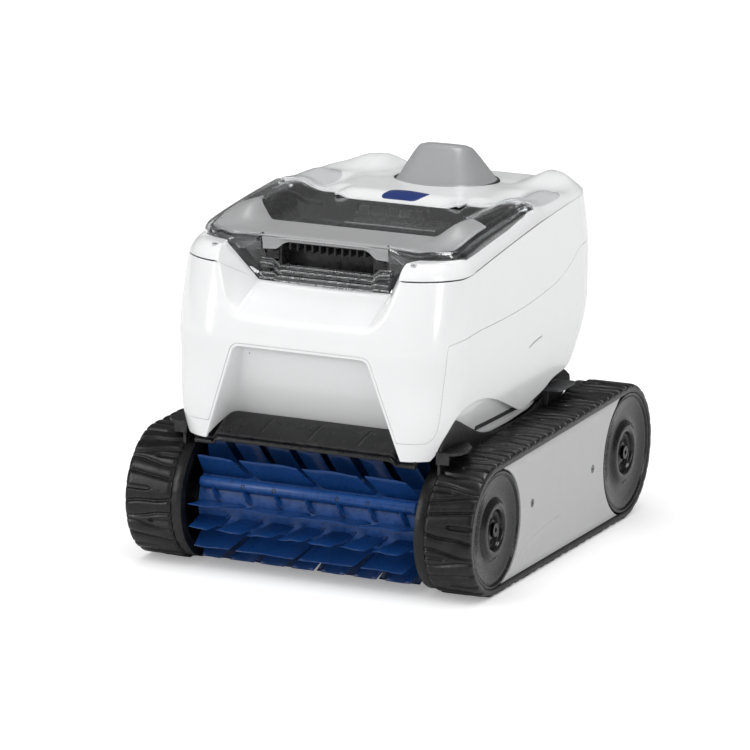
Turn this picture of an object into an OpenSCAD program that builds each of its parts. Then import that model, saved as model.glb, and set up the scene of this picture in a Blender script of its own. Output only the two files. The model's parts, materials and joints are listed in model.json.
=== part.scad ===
// Pool cleaner: a tracked robot with a front brush, a lift-up clear lid over a filter
// canister, and a vertical pump that blows the water out under a hood at the rear.
// Millimetres. +Z is up and the machine drives towards -Y. "Right" is +X, the right-hand
// side of someone who faces the brush. The origin is on the floor under the middle of the box.

/* [Tracks and wheels] */
// Overall width over the two tracks
track_span = 330; // [324:1:340]
// Distance between the front and the rear wheel axes
wheelbase = 305; // [300:1:312]
// Height of the front wheel axis, which is the outer radius of the track around it
front_roll = 59.5; // [58.5:0.5:61]
// Height of the rear wheel axis, which is the outer radius of the track around it
rear_roll = 63.5; // [62.5:0.5:65]
// Width of each track
tread_w = 44; // [40:1:46]
// Thickness of the belt without its ridges
belt_t = 4; // [3.5:0.25:5]
// Height of the tread ridges
ridge_h = 3.5; // [2.5:0.25:4]
// Number of tread ridges around each track
ridge_count = 68; // [60:4:76]
// Inward reach of each wheel's inner flange past the belt
flange_reach = 10; // [8:1:10]
// Radius of the fixed front axle
front_axle_r = 5; // [4:0.5:6]
// Radius of the turning rear axle
rear_axle_r = 6; // [5:0.5:7]

/* [Body] */
// Widest width of the white body
body_w = 269; // [262:1:276]
// Furthest reach of the body's nose in front of the origin
nose_reach = 211; // [209:1:213]
// Furthest reach of the body's tail behind the origin
tail_reach = 178; // [172:1:184]
// Wall of the white mouldings
shell_t = 2.6; // [2:0.2:3.2]
// Height of the seam between body and top cover at the nose
seam_nose_z = 277; // [274:1:279]
// Height of the same seam at the tail
seam_tail_z = 308; // [306:1:310]
// Height of the body's two feet above the floor
foot_z = 121; // [120:0.5:124]

/* [Lid] */
// Half width of the lid over its side walls
lid_half_w = 124.6; // [122:0.2:125.4]
// Thickness of the clear plastic
clear_t = 2.4; // [2:0.2:3]
// Radius of the two hinge pins
hinge_pin_r = 2.5; // [2:0.25:3]
// How far the lid lifts, in degrees
lid_lift = 70; // [60:5:75]

/* [Brush] */
// Radius over the brush's blades
brush_r = 57.3; // [55:0.1:57.6]
// Radius of the brush's core tube
brush_core_r = 33; // [30:0.5:35]
// Length of the brush
brush_len = 208; // [206:0.5:208]
// Thickness of a brush blade
blade_t = 1.6; // [1.2:0.2:2.4]
// Number of blade rows around the brush
blade_rows = 16; // [12:2:18]

/* [Drive] */
// Gear module
gear_m = 1; // [1:0.05:1.05]
// Teeth of the gear on the rear axle
bull_teeth = 60; // [58:1:60]
// Teeth of the motor's pinion
pinion_teeth = 15; // [15:1:16]
// Teeth of the front wheel's gear
wheel_teeth = 40; // [38:2:42]
// Teeth of the countershaft gear that meets the wheel's gear
counter_teeth = 20; // [18:2:20]
// Radius of the motor's output shaft
drive_shaft_r = 3; // [2.5:0.25:3.5]
// Radius of the countershaft
counter_shaft_r = 3; // [2.5:0.25:3.5]

/* [Pump and filter] */
// Distance of the pump's axis behind the origin
pump_y = 102; // [100:1:104]
// Radius of the pump motor's can
pump_motor_r = 22; // [20:0.5:23]
// Radius of the pump's shaft
pump_shaft_r = 3; // [2.5:0.25:3.5]
// Radius over the impeller's blades
impeller_r = 33; // [30:0.5:34]
// Bore radius of the pump's duct
duct_r = 37; // [36:0.5:38]
// Half width of the filter canister
canister_half_w = 94; // [90:1:96]
// Depth of the filter canister from front to back
canister_depth = 92; // [86:1:93]
// Wall of the filter canister
canister_t = 2.4; // [2:0.2:3]
// Half width of the suction slot under the machine
inlet_half_w = 68; // [60:1:70]

/* [Hidden] */

// Clearances, shared by everything that fits
run_gap = 0.06;
part_gap = 0.3;

// Tracks
track_out = track_span / 2;
track_in = track_out - tread_w;
flange_x = track_in - flange_reach;
length = wheelbase + front_roll + rear_roll;
front_y = front_roll - length / 2;
rear_y = length / 2 - rear_roll;
rise = atan((rear_roll - front_roll) / wheelbase);
front_rim_r = front_roll - ridge_h - belt_t - part_gap;
rear_rim_r = rear_roll - ridge_h - belt_t - part_gap;
rim_t = 5;
panel_t = 3;

// Chassis
tub_half_w = track_in - 16;
tub_t = 3;
tub_z = 14;
tub_front = -92;
tub_back = 188;
deck_z = 131;
deck_t = 4;
deck_top = deck_z + deck_t;
cheek_in = tub_half_w + 2.8;
cheek_out = flange_x - 0.6;

// Brush and its gears
gear_w = 3;
brush_half = brush_len / 2;
brush_gear_x = brush_half + part_gap;
wheel_gear_x = flange_x + 1;
counter_reach = gear_m * (wheel_teeth + counter_teeth) / 2;
brush_teeth = (wheel_teeth + counter_teeth) / 2;

// Drive
bull_x = 64;
bull_w = 8;
pinion_reach = gear_m * (bull_teeth + pinion_teeth) / 2;
pinion_y = rear_y - pinion_reach;
drive_z = rear_roll;

// Motor housing
housing_half_w = 60;
housing_t = 3;
housing_front = 56;
housing_back = 132;
housing_z = tub_z + tub_t;
housing_top = 112;

// Lid
lid_front = 48 - nose_reach;
lid_back = 1;
hinge_y = -3;
hinge_z = 309;
lid_wall_h = 12;

$fn = 64;

// ---------------------------------------------------------------- helpers

// A flat profile drawn with u along Y and v along Z, extruded along X from x0 to x1
module across(x0, x1) {
    translate([x0, 0, 0]) rotate([90, 0, 90]) linear_extrude(x1 - x0) children();
}

// A box given by its low and high corners
module block(low, high) {
    translate(low) cube(high - low);
}

// A round bar along X
module bar_x(x0, x1, y, z, r, fn = 64) {
    translate([x0, y, z]) rotate([0, 90, 0]) cylinder(h = x1 - x0, r = r, $fn = fn);
}

// A round tube along X
module tube_x(x0, x1, y, z, r_out, r_in) {
    difference() {
        bar_x(x0, x1, y, z, r_out);
        bar_x(x0 - 1, x1 + 1, y, z, r_in);
    }
}

// The same piece on both sides of the machine
module both_sides() {
    children();
    mirror([1, 0, 0]) children();
}

function ease(t) = let (k = min(1, max(0, t))) k * k * (3 - 2 * k);
function mix(a, b, t) = a + (b - a) * t;
function over(v) = max(0, v);

// ---------------------------------------------------------------- body surface

belly_z = 215;
foot_tuck = 10;
tuck_height = 90;
lip_z = 235;
lip_tuck = 3.5;
nose_z = 213;
tail_r = 75;
nose_bend_z = 137;
foot_seam_z = 137.5;

// Half width, nose, tail and nose corner of the body's rounded outline at height z
function half_w(z) = body_w / 2 - foot_tuck * pow(over(belly_z - z) / tuck_height, 2)
    - lip_tuck * pow(over(z - lip_z) / 70, 2);
function nose_y(z) = -nose_reach + (z < nose_z ? 9.5 * pow((nose_z - z) / 88, 1.1)
    : 14 * pow((z - nose_z) / 64, 1.3));
function tail_y(z) = tail_reach - 40 * pow(over(190 - z) / 62, 1.8) - 6 * pow(over(z - 240) / 58, 2);
function nose_r(z) = mix(38, 54, ease((z - nose_bend_z) / 58));
function seam_z(y) = mix(seam_nose_z, seam_tail_z, 1 - pow(over(min(1, (130 - y) / 290)), 1.35));

corner_steps = 8;
side_steps = 4;
ring_n = 2 * (2 * (corner_steps + 1) + side_steps);

// Half of a ring at height z, pulled in by d: from the middle of the nose round to the tail
function half_ring(z, d) = let (
        w = half_w(z) - d,
        n = nose_y(z) + d,
        t = tail_y(z) - d,
        rn = max(nose_r(z) - d, 2),
        rt = max(tail_r - d, 2))
    concat(
        [for (i = [0:corner_steps]) let (a = -90 + 90 * i / corner_steps)
            [w - rn + rn * cos(a), n + rn + rn * sin(a)]],
        [for (i = [1:side_steps]) [w, mix(n + rn, t - rt, i / (side_steps + 1))]],
        [for (i = [0:corner_steps]) let (a = 90 * i / corner_steps)
            [w - rt + rt * cos(a), t - rt + rt * sin(a)]]);
function full_ring(half) = concat(half, [for (i = [len(half) - 1:-1:0]) [-half[i][0], half[i][1]]]);

// A ring whose height follows the seam: v is 0 at the foot and 1 at the seam
function seam_heights(ring, v) = [for (p = ring) mix(foot_z, seam_z(p[1]), v)];
function ring_at(heights, d) = [for (i = [0:len(heights) - 1])
    let (p = full_ring(half_ring(heights[i], d))[i])
    [p[0], p[1], heights[i]]];
function wall_ring(v, d) = let (
        flat = full_ring(half_ring(mix(foot_z, seam_nose_z, v), d)),
        near = ring_at(seam_heights(flat, v), d))
    ring_at(seam_heights(near, v), d);

// A closed skin over a list of rings of equal length, with both ends joined across
module skin(rings) {
    n = len(rings[0]);
    m = len(rings);
    points = [for (r = rings) each r];
    sides = [for (j = [0:m - 2]) for (i = [0:n - 1]) let (a = j * n + i, b = j * n + (i + 1) % n)
        each [[a, a + n, b], [b, a + n, b + n]]];
    caps = [for (i = [0:n / 2 - 2]) let (t = (m - 1) * n) each [
        [i, i + 1, n - 1 - i], [i + 1, n - 2 - i, n - 1 - i],
        [t + i, t + n - 1 - i, t + i + 1], [t + i + 1, t + n - 1 - i, t + n - 2 - i]]];
    polyhedron(points, concat(sides, caps), convexity = 6);
}

wall_levels = [0, 0.08, 0.16, 0.26, 0.38, 0.52, 0.66, 0.78, 0.88, 1];
over_levels = concat([-0.04], [for (v = wall_levels) if (v > 0 && v < 1) v], [1.04]);

// The whole body as a solid, and its cavity, which runs out past both open ends
module wall_solid() {
    skin([for (v = wall_levels) wall_ring(v, 0)]);
}
module wall_cavity() {
    skin([for (v = over_levels) wall_ring(v, shell_t)]);
}

// A smooth line through a few points
function curve_at(p, q, r, s, t) = 0.5 * (2 * q + (r - p) * t + (2 * p - 5 * q + 4 * r - s) * t * t
    + (3 * q - p - 3 * r + s) * t * t * t);
function smooth_line(p, n = 3) = concat([for (i = [0:len(p) - 2]) for (k = [0:n - 1])
    curve_at(p[max(i - 1, 0)], p[i], p[i + 1], p[min(i + 2, len(p) - 1)], k / n)], [p[len(p) - 1]]);

// ---------------------------------------------------------------- body mouldings

// Lower edge of the sides, from the nose to the tail, as [y, z]; the first few move with the nose
function from_nose(points) = [for (p = points) [p[0] - nose_reach, p[1]]];
arch_points = concat(
    from_nose([[23.4, foot_z + 0.5], [26.5, foot_z + 6], [29.5, 139.4], [41, 155.3], [52.6, 161]]),
    [[-142, 163.8], [-124.6, 164.3], [-108.3, 162.3], [-91.4, 158.9], [-71, 152.8], [-43.8, 143],
        [-15.6, 133],
    [-0.2, 134.5], [16.8, 137.5], [37.5, 142.6], [53.4, 148.8], [85, 153], [120, 158], [180, 165]]);
// The seam between the skirt and the body, from the foot round to the tail, as [y, z]
split_points = concat(
    from_nose([[17.5, 140], [21, 143], [22.5, 147.5], [25.7, 185], [26.4, 211], [28, 220], [35, 224]]),
    [[-132, 227.5], [-87.5, 228], [-42, 229.5], [3.3, 233.7], [47.3, 240.2], [77.7, 251.2],
        [101.7, 262.6], [240, 268]]);
foot_back = 29 - nose_reach;
recess_foot = 87;
recess_apex = 63;
recess_top = 209;
recess_round = 10;
recess_t = 2;
bib_low = 65;
bib_high = 87;
bib_floor = from_nose([[3, 232.5], [51, 256.5]]);
bib_back = 52.5 - nose_reach;

module arch_cut() {
    difference() {
        across(-200, 200) polygon(concat([[arch_points[0][0], 60]], smooth_line(arch_points),
            [[230, 166], [230, 60]]));
        recess_block(recess_t);
    }
    // Room for the plate over the brush
    bar_x(-tub_half_w - part_gap, tub_half_w + part_gap, front_y, front_roll, hood_r + part_gap);
}

// The trapezoid between the feet, with rounded upper corners, grown by g, drawn in X and Z
module recess_outline(g) {
    r = recess_round + g;
    x = recess_apex - recess_round;
    z = recess_top + g - r;
    polygon([[-recess_foot - g, 110], [recess_foot + g, 110], [recess_foot + g, foot_seam_z - 12],
        [x + r, z + 1], [x, z + r], [-x, z + r], [-x - r, z + 1], [-recess_foot - g, foot_seam_z - 12]]);
    for (s = [-1, 1]) translate([s * x, z]) circle(r);
}
module along_y(y0, y1) {
    translate([0, y1, 0]) rotate([90, 0, 0]) linear_extrude(y1 - y0) children();
}
module recess_block(g) {
    intersection() {
        along_y(-nose_reach - 30, 70 - nose_reach) recess_outline(g);
        across(-120, 120) polygon(from_nose([[-30, 100], [50 + g, 100], [46 + g, 138], [16 + g, 205 + g],
            [-30, 212 + g]]));
    }
}

// The sloping cut that the lid's front drops into, grown by g; its back stays open
module bib_block(g) {
    intersection() {
        along_y(-nose_reach - 30, bib_back - g) polygon([
            [-bib_low - g, 226], [bib_low + g, 226], [bib_low + g, 238], [bib_high + g, 284],
            [bib_high + g, 320], [-bib_high - g, 320], [-bib_high - g, 284], [-bib_low - g, 238]]);
        across(-120, 120) polygon(concat(from_nose([[-30, 217 - g]]),
            [bib_floor[0] - [0, g], bib_floor[1] - [0, g]],
            from_nose([[61, 261.5 - g], [61, 330], [-30, 330]])));
    }
}

// The strip round the recess and under the feet, which belongs to the front bezel
module bezel_region(g = 0) {
    across(-200, 200) polygon([[-nose_reach - 30, 100], [foot_back, 100], [foot_back, foot_seam_z - g],
        [-nose_reach - 30, foot_seam_z - g]]);
    along_y(-nose_reach - 30, 61 - nose_reach) recess_outline(recess_t + 0.2 - g);
}

// The region below the seam, which belongs to the bezel and the two skirts
module skirt_region(g = 0) {
    line = smooth_line(split_points);
    across(-200, 200) polygon(concat([[foot_back + g, foot_seam_z]], [[line[0][0] + g, foot_seam_z - g]],
        [for (p = line) p + [g, -g]], [[240, 100], [foot_back + g, 100]]));
    bezel_region(g);
}

module white_shell() {
    difference() {
        wall_solid();
        difference() {
            wall_cavity();
            recess_block(recess_t);
            bib_block(shell_t);
        }
        recess_block(0);
        bib_block(0);
        arch_cut();
        // Hole for the cable gland
        translate([gland_x, tail_reach - 15, gland_z]) rotate([-90, 0, 0])
            cylinder(h = 30, r = gland_r + part_gap);
    }
}

screw_x = 94;
screw_y = 26 - nose_reach;
boss_low = 258;
boss_h = 16;
module body_shell() {
    color("white") {
        difference() {
            white_shell();
            skirt_region();
        }
        // Bosses for the cover's screws, each on a rib from the wall
        both_sides() difference() {
            union() {
                translate([screw_x, screw_y, boss_low]) cylinder(h = boss_h, r = 6);
                across(screw_x - 2, screw_x + 2)
                    polygon(concat([[screw_y, boss_low + boss_h], [screw_y, boss_low]],
                    from_nose([[12.4, boss_low], [16.6, boss_low + boss_h]])));
            }
            translate([screw_x, screw_y, boss_low + 4]) cylinder(h = 30, r = screw_r - 0.3);
        }
    }
}
module front_bezel() {
    color("white") intersection() {
        white_shell();
        bezel_region(0.05);
    }
}
module skirt_right() {
    color("white") intersection() {
        difference() {
            white_shell();
            bezel_region(0);
        }
        skirt_region(0.05);
        block([0.1, -nose_reach - 30, 100], [200, 240, 300]);
    }
}
module skirt_left() {
    mirror([1, 0, 0]) skirt_right();
}

// ---------------------------------------------------------------- top cover

cover_t = 3;
rim_w = 14;
edge_t = 0.8;
seat_w = 9;
lid_gap = 0.7;
function bump(v, at, w) = exp(-pow((v - at) / w, 2));
function deck_h(x, y) = mix(seam_z(y) + 14, 312.5 - 8.5 * ease((y - 60) / 110), ease((y + 60) / 60))
    + (5 * bump(abs(x), 110, 9) - 4.5 * bump(abs(x), 86, 9)) * ease((y + 20) / 40)
    + 9 * bump(abs(x), 82, 16) * bump(y, 148, 22);
function cover_z(x, y, d) = mix(seam_z(y) + edge_t, max(deck_h(x, y), seam_z(y) + 2.5),
    1 - pow(1 - min(d / rim_w, 1), 2));
cover_insets = [0, 2, 4.5, 8, 13, 20, 30, 42, 56, 74, 95, 115];
function cover_ring(d) = [for (p = full_ring(half_ring(290, d))) [p[0], p[1], cover_z(p[0], p[1], d)]];

// The underside, which stays clear of the body's wall where it lies over it
function cover_under(d) = [for (p = cover_ring(d))
    let (low = p[2] - cover_t, seat = seam_z(p[1]) + part_gap)
    [p[0], p[1], d == 0 ? seat : d < seat_w ? max(low, seat) : low]];

// Outline of the lid seen from above, grown by g
module lid_outline(g) {
    w = lid_half_w + g;
    back = lid_back + 3.5 * min(g, 1);
    front_side = lid_front + 19 - g;
    corner_y = lid_front + 9 - g;
    polygon([[-88 - g, lid_front - g], [88 + g, lid_front - g], [117 + g, corner_y], [w, front_side],
        [w, back],
        [62 - g, back], [62 - g, -11 + g], [-62 + g, -11 + g], [-62 + g, back],
        [-w, back], [-w, front_side], [-117 - g, corner_y]]);
}
lug_x = 106;
lug_w = 8;
knuckle_w = 7.6;
knuckle_r = 5;
module top_cover() {
    color("white") {
        difference() {
            skin(concat([for (i = [len(cover_insets) - 1:-1:0]) cover_under(cover_insets[i])],
                [for (d = cover_insets) cover_ring(d)]));
            translate([0, 0, 200]) linear_extrude(200) lid_outline(lid_gap);
            // The front stays open over the body's bib
            translate([0, 0, 200]) linear_extrude(200)
                polygon([[-80, -nose_reach - 19], [80, -nose_reach - 19],
                [89, lid_front - 11], [89, lid_front + 13], [-89, lid_front + 13],
                    [-89, lid_front - 11]]);
            translate([0, pump_y, 200]) cylinder(h = 200, r = ring_r + part_gap);
            both_sides() translate([screw_x, screw_y, 200]) cylinder(h = 200, r = screw_r + 0.2);
            both_sides() translate([screw_x, screw_y, screw_seat])
                cylinder(h = 40, r = screw_head_r + part_gap);
        }
        // Hinge lugs
        both_sides() difference() {
            union() {
                bar_x(lug_x, lug_x + lug_w, hinge_y, hinge_z, knuckle_r);
                block([lug_x, hinge_y, hinge_z - knuckle_r], [lug_x + lug_w, 12, hinge_z + 2]);
                block([lug_x, lid_back + 5, hinge_z], [lug_x + lug_w, 12, hinge_z + 5.5]);
            }
            bar_x(lug_x - 1, lug_x + lug_w + 1, hinge_y, hinge_z, hinge_pin_r);
        }
    }
}

screw_r = 2;
screw_head_r = 2.6;
screw_seat = cover_z(screw_x, screw_y, 14) - 1.8;
module cover_screws() {
    color("silver") both_sides() {
        translate([screw_x, screw_y, boss_low + 6])
            cylinder(h = screw_seat + 0.2 - boss_low - 6, r = screw_r - 0.3);
        difference() {
            translate([screw_x, screw_y, screw_seat + 0.1]) cylinder(h = 1.4, r = screw_head_r);
            translate([screw_x, screw_y, screw_seat + 0.7]) cylinder(h = 4, r = 1.2, $fn = 6);
        }
    }
}

// ---------------------------------------------------------------- outlet

ring_r = 48;
ring_low = 299;
ring_top = 311;
hood_h = 35;
hood_t = 2.5;
module outlet_ring() {
    color("#202224") translate([0, pump_y, ring_low]) difference() {
        cylinder(h = ring_top - ring_low, r = ring_r);
        translate([0, 0, -1]) cylinder(h = 30, r = duct_out_r + part_gap);
        translate([0, 0, -1]) difference() {
            cylinder(h = ring_top - ring_low - 2.5, r = ring_r - 3);
            cylinder(h = 30, r = duct_out_r + part_gap + 2);
        }
    }
}

// Outline of the hood at level k, 0 at its base and 90 at its top, pulled in by d
function hood_ring(k, d, back) = let (
        t = 1 - cos(k),
        wf = mix(30, 19, t) - d,
        wr = mix(45, 23, pow(t, 1.2)) - d,
        yf = mix(60, 80, pow(t, 1.5)) + d,
        z = ring_top + (hood_h - d) * sin(k),
        half = [[wf * 0.35, yf], [wf * 0.7, yf + 1.2], [wf * 0.93, yf + 4.5], [wf, yf + 9],
            [mix(wf, wr, 0.5), mix(yf, back, 0.45)], [wr, mix(yf, back, 0.8)], [wr, back]])
    [for (p = full_ring(half)) [p[0], p[1], z]];
hood_levels = [0, 18, 34, 50, 65, 78, 90];
hood_back = 122;
module outlet_hood() {
    color("#9c9e9f") difference() {
        skin([for (k = hood_levels) hood_ring(k, 0, hood_back)]);
        skin(concat([[for (p = hood_ring(0, hood_t, hood_back + 20)) p - [0, 0, 3]]],
            [for (k = hood_levels) hood_ring(k, hood_t, hood_back + 20)]));
    }
}
module outlet_grille() {
    color("#303234") {
        translate([0, pump_y, duct_top - 4]) difference() {
            cylinder(h = 4, r = duct_r - 0.05);
            translate([0, 0, -1]) cylinder(h = 6, r = duct_r - 3);
        }
        for (x = [-24:8:24]) {
            reach = sqrt(pow(duct_r - 2, 2) - x * x);
            block([x - 0.9, pump_y - reach, duct_top - 4], [x + 0.9, pump_y + reach, duct_top]);
        }
        block([2 - duct_r, pump_y - 0.9, duct_top - 4], [duct_r - 2, pump_y + 0.9, duct_top]);
    }
}
module badge_plate() {
    color("#1f3a80") translate([0, 12, deck_h(0, 12) + 0.25]) linear_extrude(1.4) {
        polygon([[-20, -5], [20, -5], [21.5, 4], [15, 6], [-15, 6], [-21.5, 4]]);
        for (s = [-1, 1]) translate([s * 19, -3]) circle(2.2);
    }
}

gland_x = 40;
gland_z = 205;
gland_r = 8;
cable_r = 3.5;
module cable_gland() {
    color("#202224") translate([gland_x, tail_reach, gland_z]) rotate([-90, 0, 0]) difference() {
        union() {
            translate([0, 0, -16]) cylinder(h = 16 + 9, r = gland_r);
            translate([0, 0, 0.3]) cylinder(h = 3, r = gland_r + 3.5);
            translate([0, 0, -9]) cylinder(h = 5.4, r = gland_r + 3, $fn = 6);
            translate([0, 0, 9]) cylinder(h = 9, r = gland_r - 2.4);
        }
        translate([0, 0, -20]) cylinder(h = 50, r = cable_r);
    }
}

// ---------------------------------------------------------------- tracks

front_c = [front_y, front_roll];
rear_c = [rear_y, rear_roll];
top_turn = 90 + 2 * rise;
rear_run = rear_roll * (90 + top_turn) * PI / 180;
front_run = front_roll * (270 - top_turn) * PI / 180;
lap_length = 2 * wheelbase + rear_run + front_run;
ridge_pitch = lap_length / ridge_count;
ridge_foot = 5.75;
ridge_crest = 4.25;
function spot(c, r, a) = [c[0] + r * cos(a), c[1] + r * sin(a)];

// A point on the loop round both wheels: s along the crests, out away from them
function lap(s, out) = let (u = s < 0 ? s + lap_length : s, v = u - wheelbase, w = v - rear_run,
    k = w - wheelbase)
    v < 0 ? [front_y + u, -out]
    : w < 0 ? spot(rear_c, rear_roll + out, -90 + v / rear_roll * 180 / PI)
    : k < 0 ? spot(rear_c, rear_roll + out, top_turn) + w * [-cos(2 * rise), -sin(2 * rise)]
    : spot(front_c, front_roll + out, top_turn + k / front_roll * 180 / PI);

module tread_outline() {
    polygon([for (i = [0:ridge_count - 1]) let (s = i * ridge_pitch) each [
        lap(s - ridge_foot, -ridge_h), lap(s - ridge_crest, 0), lap(s + ridge_crest, 0),
            lap(s + ridge_foot, -ridge_h)]]);
}

// The area inside the loop, a distance down from the crests
module loop_area(down) {
    translate(front_c) circle(front_roll - down);
    translate(rear_c) circle(rear_roll - down);
    polygon([[front_y, down], [rear_y, down], spot(rear_c, rear_roll - down, top_turn),
        spot(front_c, front_roll - down, top_turn)]);
}
belt_down = ridge_h + belt_t;
module track_right() {
    color("#1c1d1f") across(track_in, track_out) difference() {
        tread_outline();
        loop_area(belt_down);
    }
}
module track_left() {
    mirror([1, 0, 0]) track_right();
}

// The area between the wheels that frame and panel fill
frame_gap = 0.4;
module between_wheels(down, wheel_gap) {
    difference() {
        loop_area(down);
        translate(front_c) circle(front_rim_r + wheel_gap);
        translate(rear_c) circle(rear_rim_r + wheel_gap);
        translate([front_y - 80, 0]) square([80, 140]);
        translate([rear_y, 0]) square([80, 140]);
    }
}
panel_x = track_out - panel_t;
panel_screws = [[-75, 66], [67, 66]];
stub_spots = [[-50, 66], [60, 66]];
stub_r = 11;
module track_frame_right() {
    color("#26282a") difference() {
        union() {
            across(track_in, track_in + 3) between_wheels(belt_down + frame_gap, 2.4);
            across(track_in, panel_x) difference() {
                between_wheels(belt_down + frame_gap, 2.4);
                between_wheels(belt_down + frame_gap + 3, 5.4);
            }
            for (p = panel_screws) bar_x(track_in, panel_x, p[0], p[1], 6);
            for (p = stub_spots) bar_x(tub_half_w, track_in, p[0], p[1], stub_r);
        }
        for (p = panel_screws) bar_x(panel_x - 14, panel_x + 1, p[0], p[1], 1.7);
    }
}
module track_frame_left() {
    mirror([1, 0, 0]) track_frame_right();
}
module side_panel_right() {
    color("#b4b5b6") difference() {
        across(panel_x, track_out) between_wheels(belt_down + frame_gap, 1.4);
        for (p = panel_screws) bar_x(panel_x - 1, track_out + 1, p[0], p[1], 2.2);
        for (p = panel_screws) bar_x(track_out - 1.4, track_out + 1, p[0], p[1], 3.8);
    }
}
module side_panel_left() {
    mirror([1, 0, 0]) side_panel_right();
}
module side_panel_screws() {
    color("#707274") both_sides() for (p = panel_screws) difference() {
        union() {
            bar_x(panel_x - 12, track_out - 1, p[0], p[1], 1.7);
            bar_x(track_out - 1.4, track_out - 0.1, p[0], p[1], 3.5);
        }
        bar_x(track_out - 0.9, track_out + 1, p[0], p[1], 1.3, 6);
    }
}

// ---------------------------------------------------------------- wheels and axles

cap_t = 7;
rim_end = track_out - cap_t;
web_x = 126;
hub_r = 13;
gear_seat_r = 8;
axle_screw_r = 2;

// A turned piece round an axis along X, its profile given as [radius, x]
module turned(y, z, profile) {
    translate([0, y, z]) rotate([0, 90, 0]) rotate_extrude() polygon(profile);
}

// One wheel under the right-hand belt, with its bore
module wheel(y, z, rim_r, flange_r, seat_x, bore_r) {
    difference() {
        union() {
            turned(y, z, [[rim_r - rim_t, flange_x], [flange_r, flange_x],
                [flange_r, track_in - part_gap],
                [rim_r, track_in - part_gap], [rim_r, rim_end], [rim_r - rim_t, rim_end]]);
            bar_x(web_x, web_x + 4, y, z, rim_r - 1);
            bar_x(seat_x, rim_end - 4, y, z, hub_r);
            bar_x(flange_x + 0.6, web_x, y, z, gear_seat_r);
            for (a = [30:60:330]) {
                rib = rim_r - rim_t - hub_r + 2;
                translate([0, y, z]) rotate([a, 0, 0])
                    block([web_x, hub_r - 1, -1.5], [web_x + 22, hub_r - 1 + rib, 1.5]);
            }
        }
        bar_x(flange_x - 2, track_out + 2, y, z, bore_r);
    }
}
front_bore = front_axle_r + run_gap;
gear_end = wheel_gear_x + 4;
module front_wheel_right() {
    color("#242628") wheel(front_y, front_roll, front_rim_r, front_roll - 2.5, gear_end, front_bore);
}
module front_wheel_left() {
    mirror([1, 0, 0]) front_wheel_right();
}
module rear_wheels() {
    color("#242628") both_sides() wheel(rear_y, rear_roll, rear_rim_r, rear_roll - 2.5, gear_end,
        rear_axle_r);
}

// A dished cap that closes the end of a wheel
module hub_cap(y, z, rim_r) {
    cup = rim_r * 0.4;
    turned(y, z, [[axle_screw_r + 0.5, rim_end], [rim_r, rim_end], [rim_r, track_out - 1.2],
        [rim_r - 3.6, track_out - 0.4],
        [rim_r - 6, track_out - 3.6], [cup + 2, track_out - 2.4], [cup, track_out - 0.6],
            [cup - 6, track_out - 0.6],
        [cup - 8.5, track_out - 4], [axle_screw_r + 0.5, track_out - 4]]);
}
module front_hub_cap_right() {
    color("#1e2022") hub_cap(front_y, front_roll, front_rim_r);
}
module front_hub_cap_left() {
    mirror([1, 0, 0]) front_hub_cap_right();
}
module rear_hub_caps() {
    color("#1e2022") both_sides() hub_cap(rear_y, rear_roll, rear_rim_r);
}
axle_end = 150;
module axle_screw(y, z) {
    difference() {
        union() {
            bar_x(axle_end - 14, track_out - 3.4, y, z, axle_screw_r);
            bar_x(track_out - 3.7, track_out - 1.2, y, z, 6);
        }
        bar_x(track_out - 2.6, track_out, y, z, 2.4, 6);
    }
}
module front_hub_screws() {
    color("silver") both_sides() axle_screw(front_y, front_roll);
}
module rear_hub_screws() {
    color("silver") both_sides() axle_screw(rear_y, rear_roll);
}
module axle(y, z, r) {
    difference() {
        bar_x(-axle_end, axle_end, y, z, r);
        both_sides() bar_x(axle_end - 14, axle_end + 1, y, z, axle_screw_r);
    }
}
module front_axle() {
    color("silver") axle(front_y, front_roll, front_axle_r);
}
module rear_axle() {
    color("silver") axle(rear_y, rear_roll, rear_axle_r);
}
bush_r = 10;
module rear_axle_bushes() {
    color("#d8d4c4") both_sides() difference() {
        union() {
            bar_x(tub_half_w - tub_t, tub_half_w, rear_y, rear_roll, bush_r);
            bar_x(tub_half_w - tub_t - 3, tub_half_w - tub_t, rear_y, rear_roll, bush_r + 3);
        }
        bar_x(tub_half_w - 20, tub_half_w + 5, rear_y, rear_roll, rear_axle_r + run_gap);
    }
}

// ---------------------------------------------------------------- gears

addendum = 0.94 * gear_m;
dedendum = 1.25 * gear_m;
backlash = 0.06;
flank_steps = 4;
function roll_angle(rb, r) = let (t = sqrt(max(0, pow(r / rb, 2) - 1))) t * 180 / PI - atan(t);
module gear_2d(teeth, phase) {
    rp = gear_m * teeth / 2;
    rb = rp * cos(20);
    lift = roll_angle(rb, rp) + 90 / teeth - backlash / rp * 180 / PI;
    start = max(rb, rp - dedendum);
    flank = [for (k = [0:flank_steps]) let (r = mix(start, rp + addendum, k / flank_steps)) [r,
        lift - roll_angle(rb, r)]];
    root = lift - roll_angle(rb, start);
    polygon([for (i = [0:teeth - 1]) let (a = phase + i * 360 / teeth) each concat(
        [spot([0, 0], rp - dedendum, a - root)],
        [for (f = flank) spot([0, 0], f[0], a - f[1])],
        [for (k = [flank_steps:-1:0]) spot([0, 0], flank[k][0], a + flank[k][1])],
        [spot([0, 0], rp - dedendum, a + root)])]);
}
module spur(x0, x1, y, z, teeth, phase, bore_r) {
    translate([0, y, z]) difference() {
        across(x0, x1) gear_2d(teeth, phase);
        bar_x(x0 - 1, x1 + 1, 0, 0, bore_r);
    }
}
counter_y = front_y + counter_reach;
module wheel_gear() {
    color("#d9d6cc") spur(wheel_gear_x, gear_end, front_y, front_roll, wheel_teeth, 0, gear_seat_r);
}
module brush_gear() {
    color("#d9d6cc") spur(brush_half, brush_half + gear_w, front_y, front_roll, brush_teeth, 0,
        gear_seat_r);
}
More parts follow.
